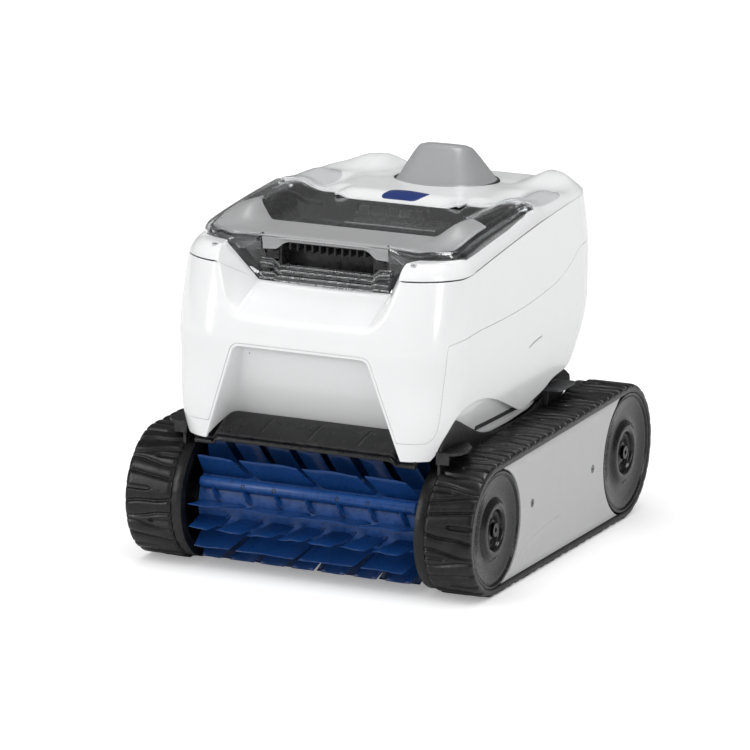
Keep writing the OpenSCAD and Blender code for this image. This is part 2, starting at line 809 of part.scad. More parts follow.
module countershaft() {
    color("#d9d6cc") {
        bar_x(brush_half + part_gap, gear_end, counter_y, front_roll, counter_shaft_r);
        translate([0, counter_y, front_roll]) {
            across(brush_half + part_gap, brush_half + gear_w)
                gear_2d(brush_teeth, 180 + 180 / brush_teeth);
            across(wheel_gear_x, gear_end) gear_2d(counter_teeth, 180 + 180 / counter_teeth);
        }
    }
}
module bull_gear() {
    color("#d9d6cc") {
        spur(bull_x, bull_x + bull_w, rear_y, rear_roll, bull_teeth, 0, rear_axle_r);
        tube_x(bull_x - 4, bull_x + bull_w + 6, rear_y, rear_roll, 12, rear_axle_r);
    }
}
module drive_pinion() {
    color("#c8a860") {
        translate([0, pinion_y, drive_z]) across(bull_x, bull_x + bull_w)
            gear_2d(pinion_teeth, 180 / pinion_teeth);
        bar_x(housing_half_w - 10, bull_x + bull_w, pinion_y, drive_z, drive_shaft_r);
    }
}

// ---------------------------------------------------------------- brush

sleeve_t = 1.5;
module brush_core() {
    color("#2a2c2e") difference() {
        union() {
            bar_x(-brush_half, brush_half, front_y, front_roll, brush_core_r);
            bar_x(-brush_half - gear_w, brush_half + gear_w, front_y, front_roll, gear_seat_r);
        }
        difference() {
            bar_x(4 - brush_half, brush_half - 4, front_y, front_roll, brush_core_r - 3);
            bar_x(-brush_half, brush_half, front_y, front_roll, gear_seat_r);
        }
        bar_x(-brush_half - 9, brush_half + 9, front_y, front_roll, front_bore);
    }
}
blade_step = 360 / blade_rows;
clip_row = 2;
wide_n = 4;
narrow_n = 7;
row_start = 23;
module blade(x0, x1) {
    block([x0, -blade_t / 2, brush_core_r], [x1, blade_t / 2, brush_r]);
}
module brush_blades() {
    color("#1b3f86") {
        tube_x(-brush_half + 0.5, brush_half - 0.5, front_y, front_roll, brush_core_r + sleeve_t,
            brush_core_r);
        translate([0, front_y, front_roll]) for (i = [0:blade_rows - 1]) if (i != clip_row)
            rotate([row_start + i * blade_step, 0, 0]) {
                wide_pitch = (brush_len - 4) / wide_n;
                narrow_pitch = (brush_len - 4) / narrow_n;
                if (i % 2 == 0) for (k = [0:narrow_n - 1]) {
                    x = 2 - brush_half + narrow_pitch * k;
                    blade(x, x + narrow_pitch * 0.72);
                }
                else for (k = [0:wide_n - 1]) {
                    x = 2 - brush_half + wide_pitch * k;
                    blade(x, x + wide_pitch * 0.9);
                }
            }
        translate([0, front_y, front_roll]) rotate([row_start + clip_row * blade_step, 0, 0])
            bar_x(-brush_half + 4, brush_half - 4, 0, brush_core_r + sleeve_t + 1, 4, 24);
    }
}

// ---------------------------------------------------------------- chassis

slot_front = -88;
slot_back = -66;
duct_wall = 2.4;
duct_half_w = inlet_half_w + duct_wall;
shaft_hole_r = 8;
module slot_hole(low, high) {
    block([-duct_half_w - part_gap, slot_front - part_gap, low],
        [duct_half_w + part_gap, slot_back + part_gap, high]);
}
module cheek_outline() {
    polygon([[-64, 24], [-64, 116], [-90, 116], [-122, 84], [-136, 76], [front_y - 8, front_roll + 13],
        [front_y - 8, front_roll - 13],
        [-130, 38], [-92, 24]]);
    translate(front_c) circle(15);
}
module chassis_tub() {
    color("#2c2e30") difference() {
        union() {
            difference() {
                block([-tub_half_w, tub_front, tub_z], [tub_half_w, tub_back, deck_z]);
                block([tub_t - tub_half_w, tub_front + tub_t, tub_z + tub_t],
                    [tub_half_w - tub_t, tub_back - tub_t, deck_z + 1]);
            }
            both_sides() {
                across(cheek_in, cheek_out) cheek_outline();
                block([tub_half_w, -90, 26], [cheek_out, -66, 114]);
            }
        }
        slot_hole(tub_z - 1, tub_z + tub_t + 1);
        bar_x(-tub_half_w - 1, tub_half_w + 1, rear_y, rear_roll, bush_r);
        bar_x(-cheek_out - 1, cheek_out + 1, front_y, front_roll, front_axle_r);
        bar_x(cheek_in - 1, cheek_out + 1, counter_y, front_roll, counter_shaft_r + run_gap);
    }
}
deck_rim = track_in + 1;
guard_t = 3;
guard_front = [-175, -150, 136];
guard_rear = [67, 130, 132];
module chassis_deck() {
    color("#2c2e30") difference() {
        union() {
            translate([0, 0, deck_z]) linear_extrude(deck_t) polygon([
                [-tub_half_w, tub_front], [tub_half_w, tub_front], [deck_rim, tub_front + 30],
                    [deck_rim, 110],
                [tub_half_w, 150], [tub_half_w, 165], [90, tub_back - 8], [-90, tub_back - 8],
                    [-tub_half_w, 165],
                [-tub_half_w, 150], [-deck_rim, 110], [-deck_rim, tub_front + 30]]);
            // Arms that run forward beside the brush plate, and guards over the tracks
            both_sides() {
                block([tub_half_w + 1, guard_front[0], deck_z],
                    [deck_rim, tub_front + 31, deck_z + guard_t]);
                block([tub_half_w + 1, guard_front[0], deck_z],
                    [guard_front[2], guard_front[1], deck_z + guard_t]);
                block([deck_rim - 6, guard_rear[0], deck_z],
                    [guard_rear[2], guard_rear[1], deck_z + guard_t]);
            }
        }
        slot_hole(deck_z - 5, deck_top + 1);
        translate([0, pump_y, deck_z - 1]) cylinder(h = 10, r = shaft_hole_r);
    }
}

// The plate over the brush, an arc round the brush's axis that runs back to the deck
hood_r = 79;
hood_t_front = 3;
hood_lip = 128;
slash_w = 3;
module front_hood() {
    color("#2c2e30") {
        across(-tub_half_w, tub_half_w) {
            intersection() {
                difference() {
                    translate(front_c) circle(hood_r);
                    translate(front_c) circle(hood_r - hood_t_front);
                }
                polygon([front_c, spot(front_c, 2 * hood_r, 89), spot(front_c, 2 * hood_r, hood_lip)]);
            }
            polygon([[front_y, front_roll + hood_r], [front_y, front_roll + hood_r - hood_t_front],
                [tub_front - 7, deck_top - hood_t_front], [tub_front - 3, deck_z - 12],
                    [tub_front, deck_z - 12],
                [tub_front, deck_top], [tub_front - 7, deck_top]]);
        }
        // Ends that close the plate down to the brush
        both_sides() across(tub_half_w - 3, tub_half_w) intersection() {
            difference() {
                translate(front_c) circle(hood_r - 1);
                translate(front_c) circle(brush_r + 6);
            }
            polygon([front_c, spot(front_c, 2 * hood_r, 45), spot(front_c, 2 * hood_r, hood_lip)]);
            translate([tub_front - 150, 0]) square([150, 200]);
        }
        // Three raised slashes on top
        for (x = [-52, 0, 52]) translate([x - slash_w / 2, front_y - 24, front_roll + hood_r - 6])
            rotate([8, 0, 0])
            cube([slash_w, 14, 4.2]);
    }
}
module suction_plate() {
    color("#1e2022") difference() {
        block([-84, tub_front, tub_z - 3], [84, slot_back + 10, tub_z]);
        slot_hole(tub_z - 5, tub_z + 1);
    }
}
ear_in = inlet_half_w - 1;
flap_y = slot_back + 3;
flap_z = deck_top + 3.2;
flap_pin_r = 1.5;
module suction_duct() {
    color("#34363a") difference() {
        union() {
            block([-duct_half_w, slot_front, tub_z], [duct_half_w, slot_back, deck_top - 0.3]);
            block([-duct_half_w, slot_front, deck_top - 1], [duct_half_w, slot_back, deck_top]);
            // Ears for the flap's pin, rooted in the duct's rear wall
            both_sides() block([ear_in, slot_back - 2, deck_top - 0.5],
                [ear_in + 3, slot_back, deck_top + 3]);
            both_sides() block([ear_in, slot_back - 2, deck_top], [ear_in + 3, flap_y + 3, flap_z + 3.2]);
        }
        block([-inlet_half_w, slot_front + duct_wall, tub_z - 1],
            [inlet_half_w, slot_back - duct_wall, deck_top + 1]);
        bar_x(-100, 100, flap_y, flap_z, flap_pin_r + run_gap, 32);
    }
}
module suction_flap() {
    color("#1e2022") {
        bar_x(-ear_in - 2.6, ear_in + 2.6, flap_y, flap_z, flap_pin_r, 32);
        bar_x(part_gap - ear_in, ear_in - part_gap, flap_y, flap_z, 2.6, 32);
        block([1 - ear_in, slot_front, deck_top + part_gap], [ear_in - 1, flap_y, deck_top + 2]);
    }
}

// ---------------------------------------------------------------- sealed motors

seal_t = 1.5;
cover_low = housing_top + seal_t;
cover_high = cover_low + 4;
shaft_seal_r = 6;
motor_r = 13;
module housing_box(low, high, inset) {
    block([inset - housing_half_w, housing_front + inset, low],
        [housing_half_w - inset, housing_back - inset, high]);
}
module motor_housing() {
    color("#3a3d40") {
        difference() {
            housing_box(housing_z, housing_top, 0);
            housing_box(housing_z + housing_t, housing_top + 1, housing_t);
            bar_x(housing_half_w - 10, housing_half_w + 1, pinion_y, drive_z, shaft_seal_r);
        }
        for (x = [-38, 38]) for (z = [32, 92]) translate([x, housing_front + housing_t, z])
            rotate([-90, 0, 0]) cylinder(h = 3, r = 3);
    }
}
module motor_cover() {
    color("#3a3d40") difference() {
        housing_box(cover_low, cover_high, 0);
        translate([0, pump_y, cover_low - 1]) cylinder(h = 10, r = shaft_seal_r);
    }
}
module pump_motor() {
    color("#8d9094") difference() {
        union() {
            translate([0, pump_y, 50]) cylinder(h = cover_low - 50, r = pump_motor_r);
            translate([0, pump_y, 44]) cylinder(h = 6, r = 8);
        }
        translate([0, pump_y, 90]) cylinder(h = 40, r = pump_shaft_r + run_gap);
    }
}
module drive_motor() {
    color("#8d9094") difference() {
        bar_x(housing_half_w - housing_t - 31, housing_half_w - housing_t, pinion_y, drive_z, motor_r);
        bar_x(housing_half_w - 11, housing_half_w, pinion_y, drive_z, drive_shaft_r + run_gap);
    }
}
// The housing's flat gasket and the seals of the two shafts that leave it
module housing_seals() {
    color("#101112") {
        difference() {
            housing_box(housing_top, cover_low, 0.4);
            housing_box(housing_top - 1, cover_low + 1, housing_t - 0.4);
        }
        tube_x(housing_half_w - housing_t, housing_half_w, pinion_y, drive_z, shaft_seal_r,
            drive_shaft_r + run_gap);
        translate([0, pump_y, cover_low]) difference() {
            cylinder(h = cover_high - cover_low, r = shaft_seal_r);
            translate([0, 0, -1]) cylinder(h = 10, r = pump_shaft_r + run_gap);
        }
    }
}
module circuit_board() {
    color("#1f6b45") {
        y0 = housing_front + housing_t + 3;
        block([-46, y0, 24], [46, y0 + 1.6, 100]);
        block([-30, y0, 40], [-14, y0 + 7, 60]);
        block([8, y0, 34], [30, y0 + 5, 50]);
        translate([30, y0, 84]) rotate([-90, 0, 0]) cylinder(h = 12, r = 6);
        translate([14, y0, 84]) rotate([-90, 0, 0]) cylinder(h = 12, r = 6);
    }
}
impeller_low = 151;
impeller_h = 17;
module pump_shaft() {
    color("silver") translate([0, pump_y, 92])
        cylinder(h = impeller_low + impeller_h - 92, r = pump_shaft_r);
}
module impeller() {
    color("#3a6ea5") translate([0, pump_y, impeller_low]) difference() {
        union() {
            cylinder(h = impeller_h, r = 9);
            intersection() {
                cylinder(h = impeller_h, r = impeller_r);
                union() for (a = [0:90:270]) rotate([0, 0, a]) translate([0, 0, impeller_h / 2])
                    rotate([32, 0, 0])
                    translate([4, -1, -16]) cube([impeller_r, 2, 32]);
            }
        }
        translate([0, 0, -1]) cylinder(h = impeller_h + 2, r = pump_shaft_r);
    }
}
duct_out_r = duct_r + 2;
duct_top = 303;
duct_low = 148;
module pump_duct() {
    color("#4a4d50") {
        translate([0, pump_y, duct_low]) difference() {
            cylinder(h = duct_top - duct_low, r = duct_out_r);
            translate([0, 0, -1]) cylinder(h = 200, r = duct_r);
        }
        for (a = [45:90:315]) translate([0, pump_y, 0]) rotate([0, 0, a])
            block([duct_r + 0.2, -5, deck_top], [duct_out_r + 3, 5, duct_low + 6]);
        // Ledge that carries the grille
        translate([0, pump_y, duct_top - 6]) difference() {
            cylinder(h = 2, r = duct_out_r);
            translate([0, 0, -1]) cylinder(h = 4, r = duct_r - 2);
        }
    }
}

// ---------------------------------------------------------------- filter canister

can_front = -98;
can_back = can_front + canister_depth;
can_top = 282;
can_windows = [-78, 6];
window_w = 72;
window_low = 165;
window_high = 262;
module canister_windows() {
    for (x = can_windows) block([x, can_front - 2, window_low],
        [x + window_w, can_back + 2, window_high]);
    block([-canister_half_w - 2, can_front + 16, window_low],
        [canister_half_w + 2, can_back - 16, window_high]);
}
module canister_box(low, high) {
    color("#5b5e61") difference() {
        block([-canister_half_w, can_front, low], [canister_half_w, can_back, high]);
        block([canister_t - canister_half_w, can_front + canister_t, deck_top + canister_t],
            [canister_half_w - canister_t, can_back - canister_t, can_top + 1]);
        block([-duct_half_w - 2, slot_front - 2, deck_top - 1],
            [duct_half_w + 2, flap_y + 5, deck_top + canister_t + 1]);
        canister_windows();
    }
}
module canister_base() {
    canister_box(deck_top, window_low);
}
module canister_cage() {
    canister_box(window_low, can_top);
}
mesh_t = 0.8;
module filter_mesh() {
    m = (canister_t - mesh_t) / 2;
    color("#b9bcc0") intersection() {
        canister_windows();
        difference() {
            block([m - canister_half_w, can_front + m, window_low],
                [canister_half_w - m, can_back - m, window_high]);
            block([m + mesh_t - canister_half_w, can_front + m + mesh_t, window_low - 1],
                [canister_half_w - m - mesh_t, can_back - m - mesh_t, window_high + 1]);
        }
    }
}
grip_y = (can_front + can_back) / 2;
module canister_handle() {
    color("#2c2e30") {
        block([-canister_half_w, grip_y - 9, can_top], [canister_half_w, grip_y + 9, can_top + 3]);
        both_sides() block([canister_t - canister_half_w, grip_y - 9, can_top - 8],
            [canister_t + 3 - canister_half_w, grip_y + 9, can_top + 1]);
        along_y(grip_y - 5, grip_y + 5) difference() {
            polygon([[-44, can_top], [-36, can_top + 9], [36, can_top + 9], [44, can_top]]);
            polygon([[-38, can_top - 1], [-32, can_top + 5.4], [32, can_top + 5.4], [38, can_top - 1]]);
        }
    }
}

// ---------------------------------------------------------------- lid

bar_z = 299.3;
bar_back = lid_front + 63;
arm_in = 101;
window_half = 79;
frame_t = 3;
pane_rise = 8;
function arm_z(y) = mix(bar_z, 313, ease((y - bar_back + 50) / 52)) + 0.01 * over(y - bar_back - 2);
function edge_z(y) = let (u = over(y - lid_front - 18)) 298.2 + 0.144 * u - 0.00022 * u * u;
function pane_z(y) = mix(bar_z, bar_z + pane_rise, over(y - bar_back) / 90);
function lid_z(x, y) = let (u = abs(x)) u < arm_in ? mix(pane_z(y), arm_z(y),
    ease((u - window_half) / (arm_in - window_half)))
    : mix(arm_z(y), edge_z(y), (u - arm_in) / (lid_half_w - arm_in));
lid_half_cols = [0, 30, 62, window_half, 84, 89, 95, arm_in, 113, 126];
lid_cols = concat([for (i = [len(lid_half_cols) - 1:-1:1]) -lid_half_cols[i]], lid_half_cols);
lid_rows = concat([for (u = [-5, 13, 27, 41, 55, 65]) lid_front + u],
    [for (t = [0.22, 0.47, 0.73, 1]) mix(lid_front + 65, lid_back + 3, t)]);

// A closed slab whose top follows the lid, lowered by drop, t thick
module lid_slab(drop, t) {
    nx = len(lid_cols);
    ny = len(lid_rows);
    n = nx * ny;
    points = concat([for (y = lid_rows) for (x = lid_cols) [x, y, lid_z(x, y) - drop]],
        [for (y = lid_rows) for (x = lid_cols) [x, y, lid_z(x, y) - drop - t]]);
    tops = [for (j = [0:ny - 2]) for (i = [0:nx - 2]) let (a = j * nx + i)
        each [[a, a + nx, a + 1], [a + 1, a + nx, a + nx + 1]]];
    under = [for (f = tops) [f[0] + n, f[2] + n, f[1] + n]];
    rim = concat([for (i = [0:nx - 2]) i], [for (j = [0:ny - 2]) j * nx + nx - 1],
        [for (i = [nx - 1:-1:1]) (ny - 1) * nx + i], [for (j = [ny - 1:-1:1]) j * nx]);
    m = len(rim);
    walls = [for (i = [0:m - 1]) let (a = rim[i], b = rim[(i + 1) % m])
        each [[a, b, a + n], [b, b + n, a + n]]];
    polyhedron(points, concat(tops, under, walls), convexity = 4);
}
module frame_outline() {
    difference() {
        lid_outline(0);
        polygon([[-window_half, bar_back], [window_half, bar_back], [arm_in - 8, bar_back - 4],
            [arm_in, bar_back + 3], [arm_in, 40],
            [-arm_in, 40], [-arm_in, bar_back + 3], [8 - arm_in, bar_back - 4]]);
        both_sides() polygon([[arm_in, -10], [140, -22], [140, 40], [arm_in, 40]]);
    }
}
module lid_frame() {
    color("#9c9e9f") intersection() {
        lid_slab(0, frame_t);
        translate([0, 0, 250]) linear_extrude(100) frame_outline();
    }
}

// Handle opening in the lid's front drop
handle_half = 41;
handle_low = 265;
handle_high = 289;
drop_y = lid_front + 17;
module drop_profile() {
    polygon([[drop_y, 295], [drop_y, 262], [lid_front + 2, 259], [lid_front + 2, 256.6],
        [drop_y + 2, 256.6],
        [drop_y + 2.6, 262], [drop_y + 2.6, 295]]);
}
module drop_front() {
    polygon([[-62, 255], [62, 255], [86, 296], [-86, 296]]);
}
module lid_window() {
    color("#d5dde0", 0.4) difference() {
        union() {
            intersection() {
                lid_slab(frame_t, clear_t);
                translate([0, 0, 250]) linear_extrude(100) lid_outline(0);
            }
            intersection() {
                lid_slab(frame_t + 0.5, lid_wall_h);
                translate([0, 0, 250]) linear_extrude(100) difference() {
                    lid_outline(0);
                    lid_outline(-clear_t);
                }
            }
            intersection() {
                across(-90, 90) drop_profile();
                along_y(lid_front - 7, drop_y + 6) drop_front();
            }
            both_sides() bar_x(lug_x + lug_w + 0.4, lug_x + lug_w + 0.4 + knuckle_w, hinge_y, hinge_z,
                knuckle_r);
        }
        along_y(lid_front - 5, drop_y + 11) {
            square_w = 2 * handle_half;
            translate([-handle_half, handle_low + 5]) square([square_w, handle_high - handle_low - 13]);
            translate([5 - handle_half, handle_low]) square([square_w - 10, handle_high - handle_low]);
            for (s = [-1, 1]) translate([s * (handle_half - 5), handle_low + 5]) circle(5);
            for (s = [-1, 1]) translate([s * (handle_half - 8), handle_high - 8]) circle(8);
        }
        both_sides() bar_x(lug_x - 2, 130, hinge_y, hinge_z, hinge_pin_r + run_gap);
        // Room for the hinge lugs
        both_sides() block([lug_x - 0.5, hinge_y - knuckle_r - 1.2, 280], [lug_x + lug_w + 0.4, 20, 330]);
    }
}
module lid_handle_comb() {
    color("#1a1b1c") {
        block([-handle_half, drop_y + 3, 289.5], [handle_half, drop_y + 22, 293.2]);
        for (i = [0:10]) {
            x = -36 + i * 7.2;
            block([x - 1.1, drop_y + 3, 283.5], [x + 1.1, drop_y + 18, 290]);
        }
    }
}
module lid_seal() {
    color("#101112") intersection() {
        lid_slab(frame_t + clear_t, 3.5);
        translate([0, 0, 250]) linear_extrude(100) intersection() {
            difference() {
                lid_outline(-clear_t - 0.4);
                lid_outline(-clear_t - 4.4);
            }
            translate([-130, lid_front + 25]) square([260, -43 - lid_front]);
        }
    }
}
module hinge_pins() {
    color("silver") both_sides()
        bar_x(lug_x, lug_x + lug_w + knuckle_w, hinge_y, hinge_z, hinge_pin_r);
}

chassis_tub();
chassis_deck();
front_hood();
suction_plate();
suction_duct();
suction_flap();
body_shell();
front_bezel();
skirt_left();
skirt_right();
top_cover();
cover_screws();
outlet_hood();
outlet_ring();
outlet_grille();
badge_plate();
cable_gland();
side_panel_left();
side_panel_right();
side_panel_screws();
track_left();
track_right();
track_frame_left();
track_frame_right();
front_axle();
front_wheel_left();
front_wheel_right();
front_hub_cap_left();
front_hub_cap_right();
front_hub_screws();
wheel_gear();
rear_axle();
rear_wheels();
rear_hub_caps();
rear_hub_screws();
rear_axle_bushes();
bull_gear();
brush_core();
brush_blades();
brush_gear();
countershaft();
motor_housing();
motor_cover();
housing_seals();
pump_motor();
drive_motor();
drive_pinion();
pump_shaft();
impeller();
pump_duct();
circuit_board();
canister_base();
canister_cage();
filter_mesh();
canister_handle();
lid_window();
lid_frame();
lid_handle_comb();
lid_seal();
hinge_pins();
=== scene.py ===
import json
import math

import bpy
import numpy as np
from mathutils import Matrix, Vector
from mathutils.geometry import delaunay_2d_cdt
from mathutils.kdtree import KDTree


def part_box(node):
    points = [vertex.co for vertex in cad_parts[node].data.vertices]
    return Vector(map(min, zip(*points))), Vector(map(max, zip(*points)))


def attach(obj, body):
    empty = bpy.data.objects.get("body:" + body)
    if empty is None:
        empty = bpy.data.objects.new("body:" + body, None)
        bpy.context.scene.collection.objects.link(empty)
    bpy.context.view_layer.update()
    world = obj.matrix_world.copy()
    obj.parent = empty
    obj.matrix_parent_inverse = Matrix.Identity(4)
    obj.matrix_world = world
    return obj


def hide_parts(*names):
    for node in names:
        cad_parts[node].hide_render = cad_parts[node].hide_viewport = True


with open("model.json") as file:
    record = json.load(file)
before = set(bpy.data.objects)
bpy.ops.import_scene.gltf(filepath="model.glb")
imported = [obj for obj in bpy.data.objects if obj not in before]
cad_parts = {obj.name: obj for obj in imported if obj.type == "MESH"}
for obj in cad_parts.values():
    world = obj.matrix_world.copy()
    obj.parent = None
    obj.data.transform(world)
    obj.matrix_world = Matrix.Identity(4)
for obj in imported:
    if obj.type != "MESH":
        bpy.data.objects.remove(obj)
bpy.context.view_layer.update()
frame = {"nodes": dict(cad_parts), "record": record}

MM = 0.001
PI = math.pi


# ---------------- sizes read from the frame

def box_mm(node):
    low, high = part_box(node)
    return np.array(low) / MM, np.array(high) / MM


def mid_of(node):
    low, high = box_mm(node)
    return (low + high) / 2


TRACK_LOW, TRACK_HIGH = box_mm("track_right")
TRACK_IN, TRACK_OUT = TRACK_LOW[0], TRACK_HIGH[0]
SHELL_LOW, SHELL_HIGH = box_mm("body_shell")
FRONT_Y, FRONT_Z = mid_of("front_wheel_right")[1:]
REAR_Y, REAR_Z = mid_of("rear_axle")[1:]
# The wheels stand on the floor, so an axle's height is the radius over the tread
FRONT_R, REAR_R = FRONT_Z, REAR_Z
PUMP_Y = mid_of("outlet_ring")[1]
BODY_HALF = SHELL_HIGH[0]
NOSE = -SHELL_LOW[1]
TAIL = box_mm("skirt_right")[1][1]
SIDES = (("left", -1), ("right", 1))


# ---------------- numbers and lines

def ease(t):
    t = np.clip(t, 0, 1)
    return t * t * (3 - 2 * t)


def mix(a, b, t):
    return a + (b - a) * t


def bump(v, at, w):
    return np.exp(-((v - at) / w) ** 2)


def unit(v):
    return v / np.maximum(np.linalg.norm(v, axis=-1, keepdims=True), 1e-12)


def bend(a, b, c, t):
    """A point on the curve that leaves a towards b and ends at c."""
    return (1 - t) ** 2 * a + 2 * t * (1 - t) * b + t * t * c


def smooth_line(points, n=6):
    """A smooth line through a few points (Catmull-Rom)."""
    p = [np.array(q, float) for q in points]
    p = [2 * p[0] - p[1]] + p + [2 * p[-1] - p[-2]]
    out = []
    for a, b, c, d in zip(p, p[1:], p[2:], p[3:]):
        for t in np.arange(n) / n:
            pull = (2 * a - 5 * b + 4 * c - d) * t * t + (3 * b - a - 3 * c + d) * t ** 3
            out.append(0.5 * (2 * b + (c - a) * t + pull))
    return np.array(out + [p[-2]])


def rounded_corners(points, radius, steps):
    """A closed polyline with its corners rounded, apart from the point where it starts."""
    pts = [np.array(p, float) for p in points]
    out = [pts[0]]
    for a, b, c in zip(pts, pts[1:], pts[2:] + pts[:1]):
        r = min(radius, 0.45 * np.linalg.norm(a - b), 0.45 * np.linalg.norm(c - b))
        out += [bend(b + unit(a - b) * r, b, b + unit(c - b) * r, k / steps) for k in range(steps + 1)]
    return np.array(out)


def lengths(points):
    """The running length of a polyline at each of its points."""
    return np.concatenate([[0], np.cumsum(np.linalg.norm(np.diff(points, axis=0), axis=1))])


def read_line(points, at, t):
    """Points of a line at the measures t, where at holds the measure of each of its points."""
    return np.stack([np.interp(t, at, points[:, k]) for k in range(points.shape[1])], -1)


def spread(points, count, at=None):
    """The same line as count points, even by index or by the shares in at."""
    at = np.linspace(0, 1, len(points)) if at is None else at
    return read_line(points, at, np.linspace(0, 1, count))


def resample(points, step):
    """The same open polyline with even steps; its corners stay where they turn sharply."""
    points = np.asarray(points, float)
    turns = (unit(points[1:-1] - points[:-2]) * unit(points[2:] - points[1:-1])).sum(1)
    keep = [0] + [i + 1 for i in np.flatnonzero(turns < 0.9)] + [len(points) - 1]
    out = []
    for a, b in zip(keep, keep[1:]):
        run = points[a:b + 1]
        d = lengths(run)
        n = max(1, int(round(d[-1] / step)))
        out.append(read_line(run, d, np.linspace(0, d[-1], n + 1)[:-1]))
    return np.concatenate(out + [points[-1:]])


# ---------------- meshes
# A mesh is (points, faces) or (points, faces, normals).

def turned(faces):
    return [tuple(reversed(face)) for face in faces]


def joined(meshes):
    """Several meshes of one kind as one."""
    faces, start = [], 0
    for mesh in meshes:
        faces += [tuple(i + start for i in face) for face in mesh[1]]
        start += len(mesh[0])
    points, *normals = [np.concatenate([mesh[k] for mesh in meshes]) for k in range(0, len(meshes[0]), 2)]
    return points, faces, *normals


def mirrored(mesh):
    """The same mesh on the other side of X = 0."""
    points, faces, *normals = mesh
    return points * [-1, 1, 1], turned(faces), *(n * [-1, 1, 1] for n in normals)


def both_halves(mesh):
    return joined([mesh, mirrored(mesh)])


def piece(name, mesh, mat, body="chassis", stands_for=()):
    """A piece from a mesh, or a list of meshes, in millimetres, riding on a CAD body."""
    verts, faces, *normals = joined(mesh) if isinstance(mesh, list) else mesh
    me = bpy.data.meshes.new(name)
    me.from_pydata((verts * MM).tolist(), [], [tuple(int(i) for i in face) for face in faces])
    me.validate()
    me.polygons.foreach_set("use_smooth", [True] * len(me.polygons))
    if normals:
        me.normals_split_custom_set_from_vertices(unit(normals[0]).tolist())
    me.materials.append(mat)
    obj = bpy.data.objects.new(name, me)
    bpy.context.scene.collection.objects.link(obj)
    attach(obj, body)
    if stands_for:
        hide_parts(*stands_for)
    return obj


def grid_faces(rows, cols, close_rows=False, close_cols=False):
    faces = []
    for j in range(rows if close_rows else rows - 1):
        here, there = j * cols, (j + 1) % rows * cols
        for i in range(cols if close_cols else cols - 1):
            k = (i + 1) % cols
            faces.append((here + i, here + k, there + k, there + i))
    return faces


def lathe(y, z, profile, steps, side=1):
    """A turned mesh round an axis along X. The profile is [radius, x], and side -1 puts it on the left."""
    angles = np.arange(steps) * 2 * PI / steps
    verts = [[side * x, y + r * math.cos(a), z + r * math.sin(a)] for r, x in profile for a in angles]
    faces = grid_faces(len(profile), steps, close_cols=True)
    return np.array(verts), faces if side > 0 else turned(faces)


def box_mesh(low, high, r):
    """A block with rounded edges, made as a rounded outline swept upwards."""
    low, high = np.array(low, float), np.array(high, float)
    r = min(r, 0.49 * (high - low).min())
    quarter = np.linspace(0, PI / 2, 4)
    levels = [(low[2] + r - r * math.cos(a), r * math.sin(a)) for a in quarter]
    levels += [(high[2] - r + r * math.sin(a), r * math.cos(a)) for a in quarter]
    (x0, y0), (x1, y1) = low[:2] + r, high[:2] - r
    verts = []
    for z, reach in levels:
        for k, (x, y) in enumerate(((x1, y0), (x1, y1), (x0, y1), (x0, y0))):
            turn = quarter + (k - 1) * PI / 2
            verts += [[x + reach * math.cos(q), y + reach * math.sin(q), z] for q in turn]
    n = 4 * len(quarter)
    ends = [tuple(reversed(range(n))), tuple(range(len(verts) - n, len(verts)))]
    return np.array(verts), grid_faces(len(levels), n, close_cols=True) + ends


def grid_mesh(rows, flip=False):
    """A mesh through a grid of points, with normals from the grid."""
    g = np.asarray(rows, float)
    n = np.cross(np.gradient(g, axis=1), np.gradient(g, axis=0))
    for j, i in zip(*np.where(np.linalg.norm(n, axis=-1) < 1e-6)):
        n[j, i] = n[max(j - 1, 0):j + 2, max(i - 1, 0):i + 2].reshape(-1, 3).sum(0)
    n = unit(n).reshape(-1, 3)
    faces = grid_faces(*g.shape[:2])
    return g.reshape(-1, 3), turned(faces) if flip else faces, -n if flip else n


def sheet(rows, t, flip=False):
    """A grid with a second skin t behind it and a rim between them."""
    v, f, n = grid_mesh(rows, flip)
    h, w = np.asarray(rows).shape[:2]
    ids = np.arange(h * w).reshape(h, w)
    rim = np.concatenate([ids[0], ids[1:, -1], ids[-1, -2::-1], ids[-2:0:-1, 0]])
    m, mid, back = len(rim), v.mean(0), v - n * t
    out = np.cross(v[np.roll(rim, -1)] - v[np.roll(rim, 1)], n[rim])
    out = unit(out * np.where((out * (v[rim] - mid)).sum(1) > 0, 1, -1)[:, None])
    ring = np.concatenate([v[rim], back[rim]])
    faces = list(f) + [tuple(i + len(v) for i in reversed(q)) for q in f]
    for i in range(m):
        j = (i + 1) % m
        q = (i, j, m + j, m + i)
        if np.cross(ring[j] - ring[i], ring[m + j] - ring[i]) @ out[i] < 0:
            q = tuple(reversed(q))
        faces.append(tuple(2 * len(v) + k for k in q))
    return np.concatenate([v, back, ring]), faces, np.concatenate([n, -n, out, out])


def sheets(rows, t, flip=False):
    return both_halves(sheet(rows, t, flip))


def merged(mesh, tol=0.02):
    """The mesh with points that coincide joined, where their normals agree."""
    verts, faces, normals = mesh
    key = np.round(np.concatenate([verts / tol, unit(normals) * 4], axis=1)).astype(np.int64)
    _, first, inverse = np.unique(key, axis=0, return_index=True, return_inverse=True)
    inverse = inverse.reshape(-1)
    out = []
    for face in faces:
        ids = [int(inverse[i]) for i in face]
        ids = [v for i, v in enumerate(ids) if v != ids[i - 1]]
        if len(set(ids)) >= 3:
            out.append(tuple(ids))
    return verts[first], out, normals[first]


# ---------------- panels cut from a surface

LIP_STEPS = 3


def surface_of(point, h=0.05):
    """A surface whose normals are worked out by small steps in both directions."""
    def at(p):
        x, y = np.asarray(p, float).T
        across, along = point(x + h, y) - point(x - h, y), point(x, y + h) - point(x, y - h)
        return point(x, y), unit(np.cross(across, along))
    return at


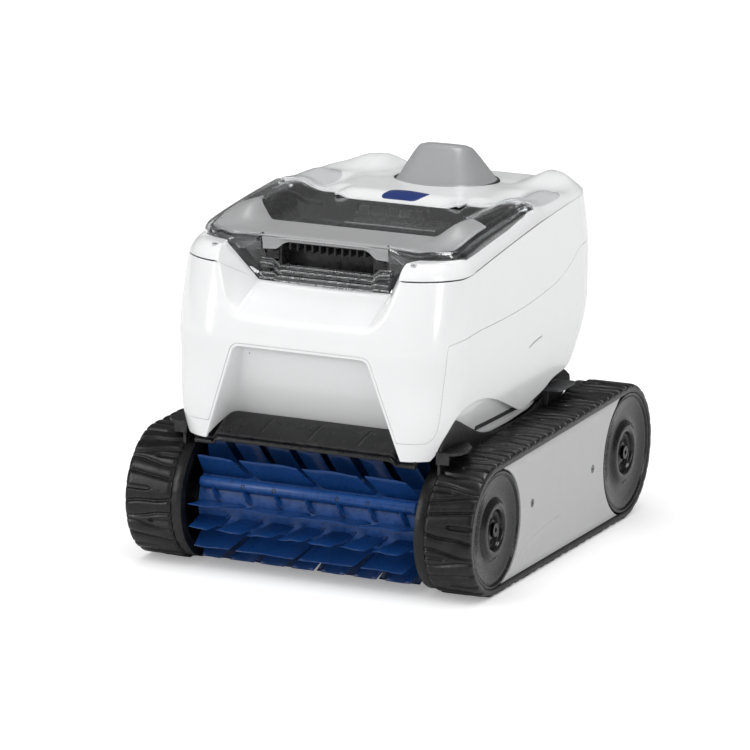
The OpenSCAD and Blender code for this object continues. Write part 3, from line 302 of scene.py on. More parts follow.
def height_surface(height):
    return surface_of(lambda x, y: np.stack([x, y, height(x, y) + 0 * x], -1))


def loop_from(runs, step=3.0, bare=()):
    """A closed loop from runs that have a lip, unless their number is in bare. Where the next run starts
    further on, a straight line without a lip leads to it."""
    pts, lips = [], []
    for k, run in enumerate(runs):
        bridge = np.array([run[-1], runs[(k + 1) % len(runs)][0]])
        for line, lip in ((run, k not in bare), (bridge, False)):
            if line is bridge and np.linalg.norm(bridge[1] - bridge[0]) < 0.1:
                continue
            line = resample(line, step)
            pts.append(line[:-1])
            lips += [lip] * (len(line) - 1)
    return np.concatenate(pts), np.array(lips, bool)


def lipped(loop):
    """A closed loop, turned anticlockwise, with a lip all round."""
    loop = np.asarray(loop, float)
    (x, y), (next_x, next_y) = loop.T, np.roll(loop, -1, 0).T
    if (x * next_y - next_x * y).sum() < 0:
        loop = loop[::-1]
    return loop, np.ones(len(loop), bool)


def closed_loop(points, step):
    return lipped(resample([*points, points[0]], step)[:-1])


def inward_moves(pts, dist):
    """How each vertex of a closed loop moves when edge i, from vertex i, moves inwards by dist[i]."""
    e1, e2 = unit(pts - np.roll(pts, 1, 0)), unit(np.roll(pts, -1, 0) - pts)
    n1, n2 = np.stack([-e1[:, 1], e1[:, 0]], -1), np.stack([-e2[:, 1], e2[:, 0]], -1)
    d1, d2 = np.roll(dist, 1), dist
    c = (n1 * n2).sum(1)
    s = 1 - c * c
    wide = s > 0.02
    safe = np.where(wide, s, 1)
    mitre = ((d1 - c * d2) / safe)[:, None] * n1 + ((d2 - c * d1) / safe)[:, None] * n2
    move = np.where(wide[:, None], mitre, unit(n1 + n2) * np.maximum(d1, d2)[:, None])
    length, limit = np.linalg.norm(move, axis=1), 2.2 * np.maximum(d1, d2)
    over = length > np.maximum(limit, 1e-9)
    move[over] *= (limit[over] / length[over])[:, None]
    return move


def inside(loop, pts):
    """Which points lie inside a closed loop."""
    x, y = pts[:, 0], pts[:, 1]
    hit = np.zeros(len(pts), bool)
    for a, b in zip(loop, np.roll(loop, -1, 0)):
        if a[1] != b[1]:
            crossing = (a[1] > y) != (b[1] > y)
            hit ^= crossing & (x < (b[0] - a[0]) * (y - a[1]) / (b[1] - a[1]) + a[0])
    return hit


def within(loops, pts):
    """Which points lie inside loops[0] and outside the others."""
    keep = inside(loops[0], pts)
    for hole in loops[1:]:
        keep &= ~inside(hole, pts)
    return keep


def near_loop(loops, pts, dist):
    """Which points lie within dist of the loops' vertices."""
    every = np.concatenate(loops)
    tree = KDTree(len(every))
    for i, p in enumerate(every):
        tree.insert((p[0], p[1], 0), i)
    tree.balance()
    return np.array([tree.find((p[0], p[1], 0))[2] < dist for p in pts], bool)


def triangles(loops, points):
    """A triangulation of the area within the loops, through the given points."""
    edges, start = [], 0
    for loop in loops:
        n = len(loop)
        edges += [(start + i, start + (i + 1) % n) for i in range(n)]
        start += n
    out = delaunay_2d_cdt([Vector(p) for p in np.concatenate([*loops, points])], edges, [], 0, 1e-5)
    flat, tri = np.array([list(v) for v in out[0]]), np.array([list(f) for f in out[2]])
    place = {source[0]: i for i, source in enumerate(out[3]) if source}
    return flat, tri[within(loops, flat[tri].mean(1))], place


def panel(surface, cuts, fill, thick=2.6, lip=0.7, gap=0.0, step=2.5):
    """A moulding cut from a surface: its outer skin, a rounded lip round each cut and its inner skin.
    surface(p) gives points and normals at the domain points p. Each cut is a closed loop with a flag for
    each edge that has a lip. The first runs anticlockwise, and holes run clockwise."""
    edges, inners = [], []
    for loop, lips in cuts:
        moves = inward_moves(loop, lips.astype(float))
        reach, probe = 0.5 * np.linalg.norm(moves, axis=1), loop + 0.5 * moves
        stretch = np.linalg.norm(surface(probe)[0] - surface(loop)[0], axis=1) / np.maximum(reach, 1e-9)
        scale = 1 / np.where(reach < 1e-6, 1, np.maximum(stretch, 0.3))
        edges.append(loop + moves * (gap * scale)[:, None])
        inners.append(loop + moves * ((gap + lip) * scale)[:, None])
    fill = fill[within(inners, fill)]
    fill = fill[~near_loop(inners, fill, 0.55 * step)]
    flat, tri, place = triangles(inners, fill)
    top, top_n = surface(flat)
    a, b, c = (top[tri[:, k]] for k in range(3))
    if (np.cross(b - a, c - a) * top_n[tri[:, 0]]).sum() < 0:
        tri = tri[:, ::-1]
    total = 2 * len(top)
    verts, norms = [top, top - top_n * thick], [top_n, -top_n]
    faces = [tuple(t) for t in tri] + [tuple(t) for t in tri[:, ::-1] + len(top)]
    offset = 0
    for (_, lips), edge in zip(cuts, edges):
        n = len(edge)
        base = [place[offset + i] for i in range(n)]
        offset += n
        a, up = top[base], top_n[base]
        out = surface(edge)[0] - a
        out = unit(out - up * (out * up).sum(1)[:, None])
        out[~(lips | np.roll(lips, 1))] = 0
        rows = []
        for q in np.linspace(0, PI / 2, LIP_STEPS + 1)[1:]:
            face = up * math.cos(q) + out * math.sin(q)
            rows.append((a + (face - up) * lip, face))
        rows += [(a + out * lip - up * (thick - 0.3), out), (a - up * thick, -up)]
        below = base
        for points, normals in rows:
            verts.append(points)
            norms.append(normals)
            ring = range(total, total + n)
            faces += [(below[i - n + 1], below[i], ring[i], ring[i - n + 1]) for i in np.flatnonzero(lips)]
            below = ring
            total += n
    return np.concatenate(verts), faces, np.concatenate(norms)


def panels(*cut, **sizes):
    return both_halves(panel(*cut, **sizes))


def hex_fill(low, high, step):
    """Points in a triangular pattern over a rectangle."""
    rows = []
    for k, y in enumerate(np.arange(low[1], high[1], step * 0.87)):
        xs = np.arange(low[0] + (k % 2) * step / 2, high[0], step)
        rows.append(np.stack([xs, np.full(len(xs), y)], -1))
    return np.concatenate(rows)


# ---------------- materials

class Tree:
    """Short calls for building a material's nodes."""

    def __init__(self, name):
        self.mat = bpy.data.materials.new(name)
        self.mat.use_nodes = True
        self.nt = self.mat.node_tree
        self.nt.nodes.clear()
        self.out = self.nt.nodes.new("ShaderNodeOutputMaterial")
        coord = self.nt.nodes.new("ShaderNodeTexCoord")
        self.place = coord.outputs["Object"]

    def node(self, kind, **values):
        n = self.nt.nodes.new(kind)
        for k, v in values.items():
            setattr(n, k, v)
        return n

    def link(self, a, b):
        self.nt.links.new(a, b)

    def set(self, node, **values):
        """Sets a node's inputs; an underscore stands for a space in an input's name."""
        for k, v in values.items():
            node.inputs[k.replace("_", " ")].default_value = v

    def noise(self, size_mm, detail, rough, stretch=None):
        n = self.node("ShaderNodeTexNoise")
        self.set(n, Scale=1000.0 / size_mm, Detail=detail, Roughness=rough)
        place = self.place
        if stretch:
            m = self.node("ShaderNodeMapping")
            self.set(m, Scale=stretch)
            self.link(place, m.inputs["Vector"])
            place = m.outputs["Vector"]
        self.link(place, n.inputs["Vector"])
        return n.outputs["Fac"]

    def ranged(self, value, low, high, out_low, out_high):
        n = self.node("ShaderNodeMapRange", clamp=True)
        self.set(n, From_Min=low, From_Max=high, To_Min=out_low, To_Max=out_high)
        self.link(value, n.inputs["Value"])
        return n.outputs["Result"]

    def feed(self, value, plug):
        """Gives an input a number, an RGB triple or another node's output."""
        if isinstance(value, (int, float)):
            plug.default_value = value
        elif isinstance(value, tuple):
            plug.default_value = (*value, 1)
        else:
            self.link(value, plug)

    def blend(self, factor, a, b):
        """A mix of two colours."""
        n = self.node("ShaderNodeMix", data_type="RGBA")
        for key, v in ((0, factor), (6, a), (7, b)):
            self.feed(v, n.inputs[key])
        return n.outputs[2]

    def math(self, op, *values):
        n = self.node("ShaderNodeMath", operation=op)
        for i, v in enumerate(values):
            self.feed(v, n.inputs[i])
        return n.outputs[0]

    def bump(self, height, depth_mm, under=None):
        n = self.node("ShaderNodeBump")
        self.set(n, Strength=1.0, Distance=depth_mm * MM)
        self.link(height, n.inputs["Height"])
        if under is not None:
            self.link(under, n.inputs["Normal"])
        return n.outputs["Normal"]

    def shader(self, kind):
        """A surface shader with its output in place."""
        n = self.node("ShaderNodeBsdf" + kind)
        self.link(n.outputs[0], self.out.inputs["Surface"])
        return n

    def mixed(self, factor, a, b):
        """A mix of two shaders as the surface."""
        n = self.node("ShaderNodeMixShader")
        for i, source in enumerate((factor, a.outputs[0], b.outputs[0])):
            self.link(source, n.inputs[i])
        self.link(n.outputs[0], self.out.inputs["Surface"])


def shade(rgb, k):
    return tuple(min(1.0, c * k) for c in rgb)


def plastic(name, rgb, rough=0.4, vary=0.06, patch=60.0, rough_vary=0.06, grain=0.0, grain_size=0.5,
            ripple=0.0, ripple_size=40.0, edge_wear_and_highlight=0.0, edge_wear_and_highlight_rgb=None, dust=0.0, coat=0.0, metal=0.0,
            specular=0.5, streak=None):
    """Moulded plastic, rubber or metal: colour drifts a little over patches, roughness is uneven, the skin
    has a fine grain over a slow ripple, pointy edges turn lighter (wear on most finishes, a painted highlight
    on the brush's blades) and dust dulls it in places."""
    t = Tree(name)
    p = t.shader("Principled")
    drift = t.noise(patch, 4.0, 0.6)
    base = t.blend(t.ranged(drift, 0.3, 0.7, 0.0, 1.0), shade(rgb, 1 - vary), shade(rgb, 1 + vary))
    fine = t.noise(patch / 9, 5.0, 0.65)
    # Lighter pointy edges: wear on most finishes, a painted highlight on the brush
    if edge_wear_and_highlight:
        geo = t.node("ShaderNodeNewGeometry")
        edge = t.ranged(geo.outputs["Pointiness"], 0.505, 0.56, 0.0, edge_wear_and_highlight)
        edge = t.math("MULTIPLY", edge, t.ranged(fine, 0.35, 0.6, 0.3, 1.0))
        base = t.blend(edge, base, edge_wear_and_highlight_rgb or shade(rgb, 2.2))
    if dust:
        film = t.ranged(t.noise(patch / 3, 6.0, 0.7), 0.45, 0.75, 0.0, dust)
        base = t.blend(film, base, (0.42, 0.41, 0.39))
    t.link(base, p.inputs["Base Color"])
    if streak:
        brushed = t.noise(streak, 3.0, 0.6, stretch=(0.02, 1.0, 1.0))
        fine = t.math("ADD", t.math("MULTIPLY", fine, 0.5), t.math("MULTIPLY", brushed, 0.5))
    t.link(t.ranged(fine, 0.3, 0.7, max(0.02, rough - rough_vary), rough + rough_vary), p.inputs["Roughness"])
    t.set(p, Metallic=metal, Specular_IOR_Level=specular)
    if coat:
        t.set(p, Coat_Weight=coat, Coat_Roughness=0.06)
    normal = None
    if ripple:
        normal = t.bump(t.noise(ripple_size, 1.5, 0.4), ripple)
    if grain:
        normal = t.bump(t.noise(grain_size, 2.0, 0.5), grain, normal)
    if normal is not None:
        t.link(normal, p.inputs["Normal"])
    return t.mat


def clear(name, tint, rough=0.02, shadow=0.82, haze=0.25):
    """Clear moulded plastic, with faint flow lines and fine scratches, that lets lamp light through."""
    t = Tree(name)
    p = t.node("ShaderNodeBsdfPrincipled")
    t.set(p, Transmission_Weight=1.0, IOR=1.46)
    marks = t.noise(14.0, 4.0, 0.6)
    t.link(t.blend(t.ranged(marks, 0.3, 0.7, 0.0, 1.0), shade(tint, 0.985), tint), p.inputs["Base Color"])
    t.link(t.ranged(t.noise(5.0, 5.0, 0.7), 0.4, 0.75, rough * 0.5, rough * 2.2), p.inputs["Roughness"])
    t.link(t.bump(t.noise(30.0, 1.0, 0.4), haze), p.inputs["Normal"])
    through = t.node("ShaderNodeBsdfTransparent")
    t.set(through, Color=(shadow, shadow, shadow * 1.01, 1))
    t.mixed(t.node("ShaderNodeLightPath").outputs["Is Shadow Ray"], p, through)
    return t.mat


WHITE = plastic("white_moulding", (0.87, 0.875, 0.88), 0.2, vary=0.006, patch=120, rough_vary=0.03,
                ripple=0.03, ripple_size=70, coat=0.35, dust=0.02, specular=0.5)
CHASSIS = plastic("chassis_black", (0.007, 0.007, 0.0075), 0.4, vary=0.15, rough_vary=0.07, grain=0.03,
                  grain_size=0.6, edge_wear_and_highlight=0.35, edge_wear_and_highlight_rgb=(0.09, 0.09, 0.095), dust=0.02, specular=0.3)
BLACK = plastic("black_moulding", (0.005, 0.005, 0.0055), 0.3, vary=0.12, rough_vary=0.06, grain=0.02,
                grain_size=0.5, edge_wear_and_highlight=0.3, edge_wear_and_highlight_rgb=(0.08, 0.08, 0.085), dust=0.015, specular=0.35)
HOOD = plastic("brush_plate_black", (0.005, 0.005, 0.0055), 0.3, vary=0.12, rough_vary=0.05, grain=0.03,
               grain_size=0.7, edge_wear_and_highlight=0.3, edge_wear_and_highlight_rgb=(0.09, 0.09, 0.095), dust=0.02, specular=0.35)
DARK = plastic("dark_moulding", (0.05, 0.052, 0.055), 0.42, vary=0.1, rough_vary=0.06, grain=0.02, edge_wear_and_highlight=0.25,
               dust=0.02)
RUBBER = plastic("seal_rubber", (0.006, 0.006, 0.006), 0.5, vary=0.12, rough_vary=0.08, grain=0.03,
                 grain_size=0.8, dust=0.03, specular=0.25)
TREAD = plastic("tread_rubber", (0.005, 0.005, 0.0052), 0.34, vary=0.2, patch=40, rough_vary=0.09,
                grain=0.05, grain_size=0.9, edge_wear_and_highlight=0.35, edge_wear_and_highlight_rgb=(0.05, 0.05, 0.052), dust=0.03,
                specular=0.35)
STEEL = plastic("stainless", (0.62, 0.62, 0.63), 0.28, vary=0.05, patch=20, metal=1.0, streak=1.2,
                rough_vary=0.08)
DARK_STEEL = plastic("dark_stainless", (0.2, 0.2, 0.21), 0.35, vary=0.08, patch=12, metal=1.0, streak=1.0,
                     rough_vary=0.08)
GREY = plastic("scoop_grey", (0.335, 0.34, 0.345), 0.36, vary=0.03, patch=80, rough_vary=0.05, grain=0.012,
               grain_size=0.4, ripple=0.02, ripple_size=60, edge_wear_and_highlight=0.1, dust=0.02)
LID_GREY = plastic("lid_bar_grey", (0.36, 0.362, 0.367), 0.34, vary=0.03, patch=90, rough_vary=0.05,
                   grain=0.01, grain_size=0.4, edge_wear_and_highlight=0.15, edge_wear_and_highlight_rgb=(0.6, 0.6, 0.6), dust=0.02)
BLUE = plastic("badge_blue", (0.008, 0.03, 0.17), 0.2, vary=0.06, patch=20, rough_vary=0.04, coat=0.3)
PANEL = plastic("side_panel_grey", (0.5, 0.5, 0.505), 0.38, vary=0.02, patch=110, rough_vary=0.05,
                grain=0.015, grain_size=0.5, ripple=0.02, ripple_size=80, edge_wear_and_highlight=0.12, dust=0.03)
WHEEL = plastic("wheel_black", (0.006, 0.006, 0.0065), 0.36, vary=0.12, rough_vary=0.07, grain=0.02,
                edge_wear_and_highlight=0.3, dust=0.03, specular=0.35)
HUB = plastic("hub_black", (0.006, 0.006, 0.0065), 0.26, vary=0.12, patch=30, rough_vary=0.03, grain=0.004,
              grain_size=1.2, edge_wear_and_highlight=0.2, edge_wear_and_highlight_rgb=(0.05, 0.05, 0.05), dust=0.01, specular=0.45)
ACETAL = plastic("natural_acetal", (0.6, 0.58, 0.52), 0.4, vary=0.04, patch=20, rough_vary=0.06, dust=0.05)
# The blades' pointy edges are painted a brighter blue: a painted highlight.
BRUSH = plastic("brush_blue", (0.006, 0.042, 0.165), 0.33, vary=0.14, patch=45, rough_vary=0.08, grain=0.02,
                grain_size=0.8, ripple=0.05, ripple_size=12, edge_wear_and_highlight=0.4, edge_wear_and_highlight_rgb=(0.03, 0.12, 0.42),
                specular=0.35)
MOTOR = plastic("motor_can", (0.45, 0.45, 0.47), 0.32, vary=0.05, patch=25, metal=1.0, streak=2.0)
BRASS = plastic("brass", (0.6, 0.43, 0.17), 0.3, vary=0.06, patch=12, metal=1.0)
IMPELLER = plastic("impeller_blue", (0.05, 0.18, 0.42), 0.35, vary=0.06, patch=30, grain=0.01)
BOARD = plastic("circuit_board", (0.015, 0.13, 0.06), 0.4, vary=0.12, patch=12, rough_vary=0.1, grain=0.03,
                grain_size=1.0)
CANISTER = plastic("canister_grey", (0.05, 0.052, 0.056), 0.3, vary=0.08, patch=50, rough_vary=0.06,
                   grain=0.01, edge_wear_and_highlight=0.2)
CLEAR = clear("clear_polycarbonate", (0.93, 0.945, 0.95))
SMOKE = clear("clear_corner", (0.8, 0.82, 0.83), rough=0.05, haze=0.8, shadow=0.7)


def mesh_cloth(name):
    """Woven filter mesh: a fine square weave whose threads stand a little proud."""
    t = Tree(name)
    p = t.shader("Principled")
    waves = []
    for axis in ("X", "Y", "Z"):
        w = t.node("ShaderNodeTexWave", wave_type="BANDS", bands_direction=axis, wave_profile="SIN")
        t.set(w, Scale=260.0)
        t.link(t.place, w.inputs["Vector"])
        waves.append(w.outputs["Fac"])
    weave = t.math("MAXIMUM", t.math("MAXIMUM", *waves[:2]), waves[2])
    dirt = t.noise(18.0, 4.0, 0.6)
    colour = t.blend(t.ranged(weave, 0.75, 1.0, 0.0, 1.0), (0.12, 0.125, 0.13), (0.42, 0.43, 0.44))
    t.link(t.blend(t.ranged(dirt, 0.4, 0.8, 0.0, 0.3), colour, (0.2, 0.2, 0.19)), p.inputs["Base Color"])
    t.link(t.ranged(dirt, 0.3, 0.7, 0.5, 0.75), p.inputs["Roughness"])
    t.link(t.bump(weave, 0.2), p.inputs["Normal"])
    return t.mat


MESH = mesh_cloth("filter_mesh")

SHOULDER = clear("clear_shoulder", (0.62, 0.63, 0.64), 0.03)
# Near-white frosted clear for thin strips along the lid's lips: a painted highlight.
LIP_HIGHLIGHT = clear("painted_lip_highlight", (0.97, 0.97, 0.97), 0.3)
SCREW = plastic("blackened_screw", (0.03, 0.03, 0.032), 0.22, vary=0.1, patch=10, metal=1.0, rough_vary=0.06)
WELL = plastic("well_black", (0.018, 0.018, 0.019), 0.25, vary=0.2, patch=30, rough_vary=0.08, dust=0.02,
               specular=0.5)

# ---------------- CAD nodes that stay

FINISHES = {
    "white_shell": WHITE, "chassis": CHASSIS, "black_plastic": BLACK, "dark_plastic": DARK,
    "black_rubber": RUBBER, "bright_steel": STEEL, "dark_steel": DARK_STEEL, "grey_plastic": GREY,
    "badge_blue": BLUE, "panel_grey": PANEL, "track_rubber": TREAD, "wheel_black": WHEEL, "hub_black": HUB,
    "gear_white": ACETAL, "brush_blue": BRUSH, "motor_steel": MOTOR, "pinion_brass": BRASS,
    "impeller_blue": IMPELLER, "board_green": BOARD, "canister_grey": CANISTER, "mesh_steel": MESH,
    "clear_plastic": CLEAR,
}
SLOT_OF = {p["node"]: p["material_slot"] for p in frame["record"]["subparts"]}
# Width of each node's rounded edges
ROUNDED = {
    "chassis_tub": 1.0, "chassis_deck": 0.8, "suction_plate": 0.6, "suction_duct": 0.5, "suction_flap": 0.4,
    "outlet_ring": 0.8, "outlet_grille": 0.3, "cable_gland": 0.6, "track_frame_left": 0.6,
    "track_frame_right": 0.6, "front_wheel_left": 0.6, "front_wheel_right": 0.6, "rear_wheels": 0.6,
    "rear_axle_bushes": 0.4, "motor_housing": 1.2, "motor_cover": 1.0, "pump_motor": 1.0,
    "drive_motor": 0.8, "pump_duct": 0.6, "circuit_board": 0.2, "canister_base": 0.8, "canister_cage": 0.8,
    "canister_handle": 0.8, "lid_handle_comb": 0.5, "impeller": 0.3, "brush_core": 0.8,
    "countershaft": 0.15, "wheel_gear": 0.15, "brush_gear": 0.15, "bull_gear": 0.2, "drive_pinion": 0.15,
    "front_axle": 0.5, "rear_axle": 0.5, "pump_shaft": 0.3, "side_panel_screws": 0.2,
    "front_hub_screws": 0.4, "rear_hub_screws": 0.4, "cover_screws": 0.2, "hinge_pins": 0.3,
}


def round_edges(obj, width):
    """Rounds a node's edges, and shading breaks only at what stays sharp."""
    weld = obj.modifiers.new("weld", "WELD")
    weld.merge_threshold = 0.02 * MM
    bevel = obj.modifiers.new("bevel", "BEVEL")
    bevel.width = width * MM
    bevel.segments = 2
    bevel.limit_method = "ANGLE"
    bevel.angle_limit = math.radians(35)
    bevel.harden_normals = True
    bevel.use_clamp_overlap = True


for node_name, obj in frame["nodes"].items():
    finish = SCREW if node_name.endswith("hub_screws") else FINISHES[SLOT_OF[node_name]]
    if not obj.material_slots:
        obj.data.materials.append(finish)
    for slot in obj.material_slots:
        slot.material = finish
    if node_name in ROUNDED:
        round_edges(obj, ROUNDED[node_name])


# ---------------- body wall

FOOT_Z = box_mm("front_bezel")[0][2]
BELLY_Z, NOSE_Z, LIP_Z = 215.0, 213.0, 235.0
SEAM_NOSE, SEAM_TAIL = 277.0, 308.0
NOSE_R, TAIL_R = 54.0, 75.0
NOSE_FULL = NOSE + 1.0
WALL_T = 2.6
# The wall's running measure: half the front, the front corner, the side, the rear corner and half the back
STRETCH = [85.0, 75.0, 262.0, 118.0, 60.0]
SEG = np.cumsum([0.0] + STRETCH)
WALL_END = SEG[-1]


def half_w(z):
    belly, shoulder = np.maximum(BELLY_Z - z, 0) / 90, np.maximum(z - LIP_Z, 0) / 70
    return BODY_HALF - 10 * belly ** 2 - 3.5 * shoulder ** 2


def nose_y(z):
    low = 9.5 * (np.maximum(NOSE_Z - z, 0) / 88) ** 1.1
    high = 14 * (np.maximum(z - NOSE_Z, 0) / 64) ** 1.3
    return -NOSE_FULL + np.where(z < NOSE_Z, low, high)


def tail_y(z):
    return TAIL - 48 * (np.maximum(212 - z, 0) / 84) ** 1.5 - 6 * (np.maximum(z - 240, 0) / 58) ** 2


def nose_r(z):
    return mix(38.0, NOSE_R, ease((z - 137) / 58))


def seam_z(y):
    return mix(SEAM_NOSE, SEAM_TAIL, 1 - np.clip((130 - y) / 290, 0, 1) ** 1.35)


def wall(s, z):
    """The body's side wall: s runs from the middle of the nose round to the middle of the tail."""
    w, n, t, rn, rt = half_w(z), nose_y(z), tail_y(z), nose_r(z), TAIL_R
    front, corner, side, rear, back = [(s - start) / length for start, length in zip(SEG, STRETCH)]
    corner, rear = np.clip(corner, 0, 1) * PI / 2, np.clip(rear, 0, 1) * PI / 2
    part = [s < end for end in SEG[1:5]]
    x = [front * (w - rn), w - rn + rn * np.sin(corner), w, w - rt + rt * np.cos(rear)]
    along = mix(n + rn, t - rt, np.clip(side, 0, 1))
    y = [n, n + rn - rn * np.cos(corner), along, t - rt + rt * np.sin(rear)]
    return np.stack([np.select(part, x, (1 - back) * (w - rt)), np.select(part, y, t), z], -1)


def s_at_x(x, z):
    """Where the front of the wall reaches x at height z."""
    rn = nose_r(z)
    flat = half_w(z) - rn
    corner = SEG[1] + STRETCH[1] * np.arcsin(np.clip((x - flat) / rn, 0, 1)) * 2 / PI
    return np.where(x < flat, x / flat * STRETCH[0], corner)


def s_at_y(y, z):
    """Where the side of the wall reaches y at height z."""
    n, t, rn = nose_y(z), tail_y(z), nose_r(z)
    corner = SEG[1] + STRETCH[1] * np.arccos(np.clip((n + rn - y) / rn, 0, 1)) * 2 / PI
    side = SEG[2] + STRETCH[2] * (y - n - rn) / (t - TAIL_R - n - rn)
    rear = SEG[3] + STRETCH[3] * np.arcsin(np.clip((y - t + TAIL_R) / TAIL_R, 0, 1)) * 2 / PI
    return np.where(y < n + rn, corner, np.where(y < t - TAIL_R, side, rear))


def on_front(xz):
    return np.stack([s_at_x(*xz.T), xz[:, 1]], -1)


def on_side(yz):
    return np.stack([s_at_y(*yz.T), yz[:, 1]], -1)


wall_surface = surface_of(wall)

# The wheel arch and the seam over it, each in Y and Z
ARCH_END, SPLIT_END = 165.0, 267.0
ARCH = smooth_line([(-187.6, 121.5), (-184.5, 127), (-181.5, 139.4), (-170, 155.3), (-158.4, 161),
                    (-142, 163.8), (-124.6, 164.3), (-108.3, 162.3), (-91.4, 158.9), (-71, 152.8),
                    (-43.8, 143), (-15.6, 133), (-0.2, 134.5), (16.8, 137.5), (37.5, 142.6), (53.4, 148.8),
                    (85, 153), (120, 158), (150, 162)], 4)

SPLIT = smooth_line([(-193.5, 140), (-190, 143), (-188.5, 147.5), (-185.3, 185), (-184.6, 211), (-183, 220),
                     (-176, 224), (-132, 227.5), (-87.5, 228), (-42, 229.5), (3.3, 233.7), (47.3, 240.2),
                     (77.7, 251.2), (101.7, 262.6), (140, 266), (168, SPLIT_END)], 4)
FOOT_SEAM_Z, FOOT_SEAM_S = 137.5, 112.0
RECESS_APEX, RECESS_FOOT, RECESS_TOP, RECESS_R = 63.0, 87.0, 208.5, 9.0
RECESS_SEAM = 2.2
# The edge over which the front rolls into the bib, in X and Z
BIB_ROLL, BIB_TOP_X = 5.0, 85.0
BIB_EDGE = smooth_line([(0, 233), (20, 233.1), (40, 233.6), (58, 234.4), (66, 238), (74.4, 247.3), (80, 261),
                        (BIB_TOP_X, SEAM_NOSE)], 6)


def recess_line(g, low_z):
    """Half of the recess's outline in X and Z, from its top's middle down to the foot, grown by g."""
    slope = unit(np.array([RECESS_FOOT - RECESS_APEX, FOOT_SEAM_Z - RECESS_TOP]))
    out = np.array([-slope[1], slope[0]])
    base = np.array([RECESS_APEX, RECESS_TOP]) + out * g
    corner = base + slope * ((RECESS_TOP + g - base[1]) / slope[1])
    low = corner + slope * ((low_z - corner[1]) / slope[1])
    r = (RECESS_R + g) * 0.62
    arc = [bend(corner - [r, 0], corner, corner + slope * r, t) for t in np.linspace(0, 1, 9)]
    return np.array([[0.0, RECESS_TOP + g], *arc, low])


def lowered_bib():
    """The bib's edge moved down the wall by the roll's size."""
    run = unit(np.gradient(BIB_EDGE, axis=0))
    low = BIB_EDGE + np.stack([run[:, 1], -run[:, 0]], -1) * BIB_ROLL
    low[0, 0] = 0
    low[:, 0] = np.maximum(low[:, 0], 0)
    low[-1] = BIB_EDGE[-1] + [BIB_ROLL, 0]
    return low


def wall_panel(cut, top):
    """A moulding cut from the wall up to a height, on both sides."""
    fill = hex_fill((0, 118), (WALL_END, top), 6.0)
    return panels(wall_surface, [cut], fill, WALL_T, lip=0.6, gap=0.1, step=4.0)


BIB_LOW = lowered_bib()
bib_run = on_front(BIB_LOW)
recess_seam = on_front(resample(recess_line(RECESS_SEAM, FOOT_SEAM_Z), 3.0))
split_side = on_side(SPLIT[SPLIT[:, 1] > 152])
foot_run = np.array([recess_seam[-1], [FOOT_SEAM_S, FOOT_SEAM_Z]])
turn_at = np.array([split_side[0, 0] - 1.0, FOOT_SEAM_Z])
turn = [bend(foot_run[1], turn_at, split_side[0], t) for t in np.linspace(0, 1, 10)]
split_run = np.array([*turn, *split_side[1:], [WALL_END, SPLIT_END]])


def top_seam():
    """The seam under the cover, from the tail's middle to the bib."""
    ys = np.linspace(TAIL, -NOSE, 160)
    ys = ys[ys < tail_y(seam_z(ys)) - 0.01]
    run = np.stack([s_at_y(ys, seam_z(ys)), seam_z(ys)], -1)
    end = bib_run[-1, 0]
    run = run[run[:, 0] > end + 1.5]
    run = np.array([[WALL_END, SEAM_TAIL], [SEG[4], SEAM_TAIL], *run, [end, SEAM_NOSE]])
    return run[np.diff(run[:, 0], prepend=WALL_END + 1) < -0.01]


def bib():
    """The bib: it rolls over its edge and slopes back to the lid's drop."""
    m = len(resample(BIB_LOW, 2.5))
    edge, low = spread(BIB_EDGE, m), spread(BIB_LOW, m)
    corner = np.searchsorted(edge[:, 0], 62.0) / (m - 1)
    edge, low = wall(*on_front(edge).T), wall(*on_front(low).T)
    middle = smooth_line([(0, -160, 256.5), (30, -160.2, 256.9), (60, -160.7, 257.7)], 8)
    middle = resample([*middle, (63, -161, 258)], 2.0)
    side = mix(middle[-1], np.array([84.0, -189.5, SEAM_NOSE + 0.3]), np.linspace(0, 1, 16)[1:, None])
    shares = [np.linspace(0, corner, len(middle)), np.linspace(corner, 1, len(side) + 1)[1:]]
    back = spread(np.concatenate([middle, side]), m, np.concatenate(shares))
    reach = np.minimum(BIB_ROLL, 0.45 * np.linalg.norm(back - edge, axis=1))[:, None]
    first = edge + unit(back - edge) * reach
    rows = [bend(low, edge, first, t) for t in np.linspace(0, 1, 8)]
    rows += [mix(first, back, t) for t in np.linspace(0, 1, 10)[1:]]
    return sheets(rows, 1.8)


body_cut = loop_from([recess_seam, foot_run, split_run, top_seam(), bib_run[::-1]], bare=(4,))
piece("body_moulding", [wall_panel(body_cut, 312), bib()], WHITE, stands_for=("body_shell",))

recess_edge = on_front(resample(recess_line(0.0, FOOT_Z), 3.0))
arch_run = on_side(ARCH)
arch_run = np.array([[arch_run[0, 0], FOOT_Z], *arch_run[1:], [WALL_END, ARCH_END]])
skirt_top = np.concatenate([split_run[::-1], foot_run[:1], recess_seam[-2::-1]])
recess_run = [recess_seam[0], *recess_edge]
skirt_cut = loop_from([recess_run, [recess_edge[-1], arch_run[0]], arch_run, skirt_top], bare=(0,))
skirt_parts = [wall_panel(skirt_cut, 275)]


# ---------------- front recess

PLATE_R = 79.0
RECESS_BACK = ([100, 138, 205, 230], [-161.0, -165.0, -195.0, -203.0])
# How far each line round the recess is inset from its outline, and its share of the way to the back wall
LEVELS = [(0.0, 0.0), (0.15, 0.012), (0.5, 0.03), (0.9, 0.08), (1.3, 0.2), (1.8, 0.36), (2.3, 0.52),
          (2.8, 0.66), (3.3, 0.78), (4.0, 0.875), (5.2, 0.94), (6.8, 0.978), (8.6, 0.995), (10.5, 1.0)]


def recess_back(z):
    return np.interp(z, *RECESS_BACK)


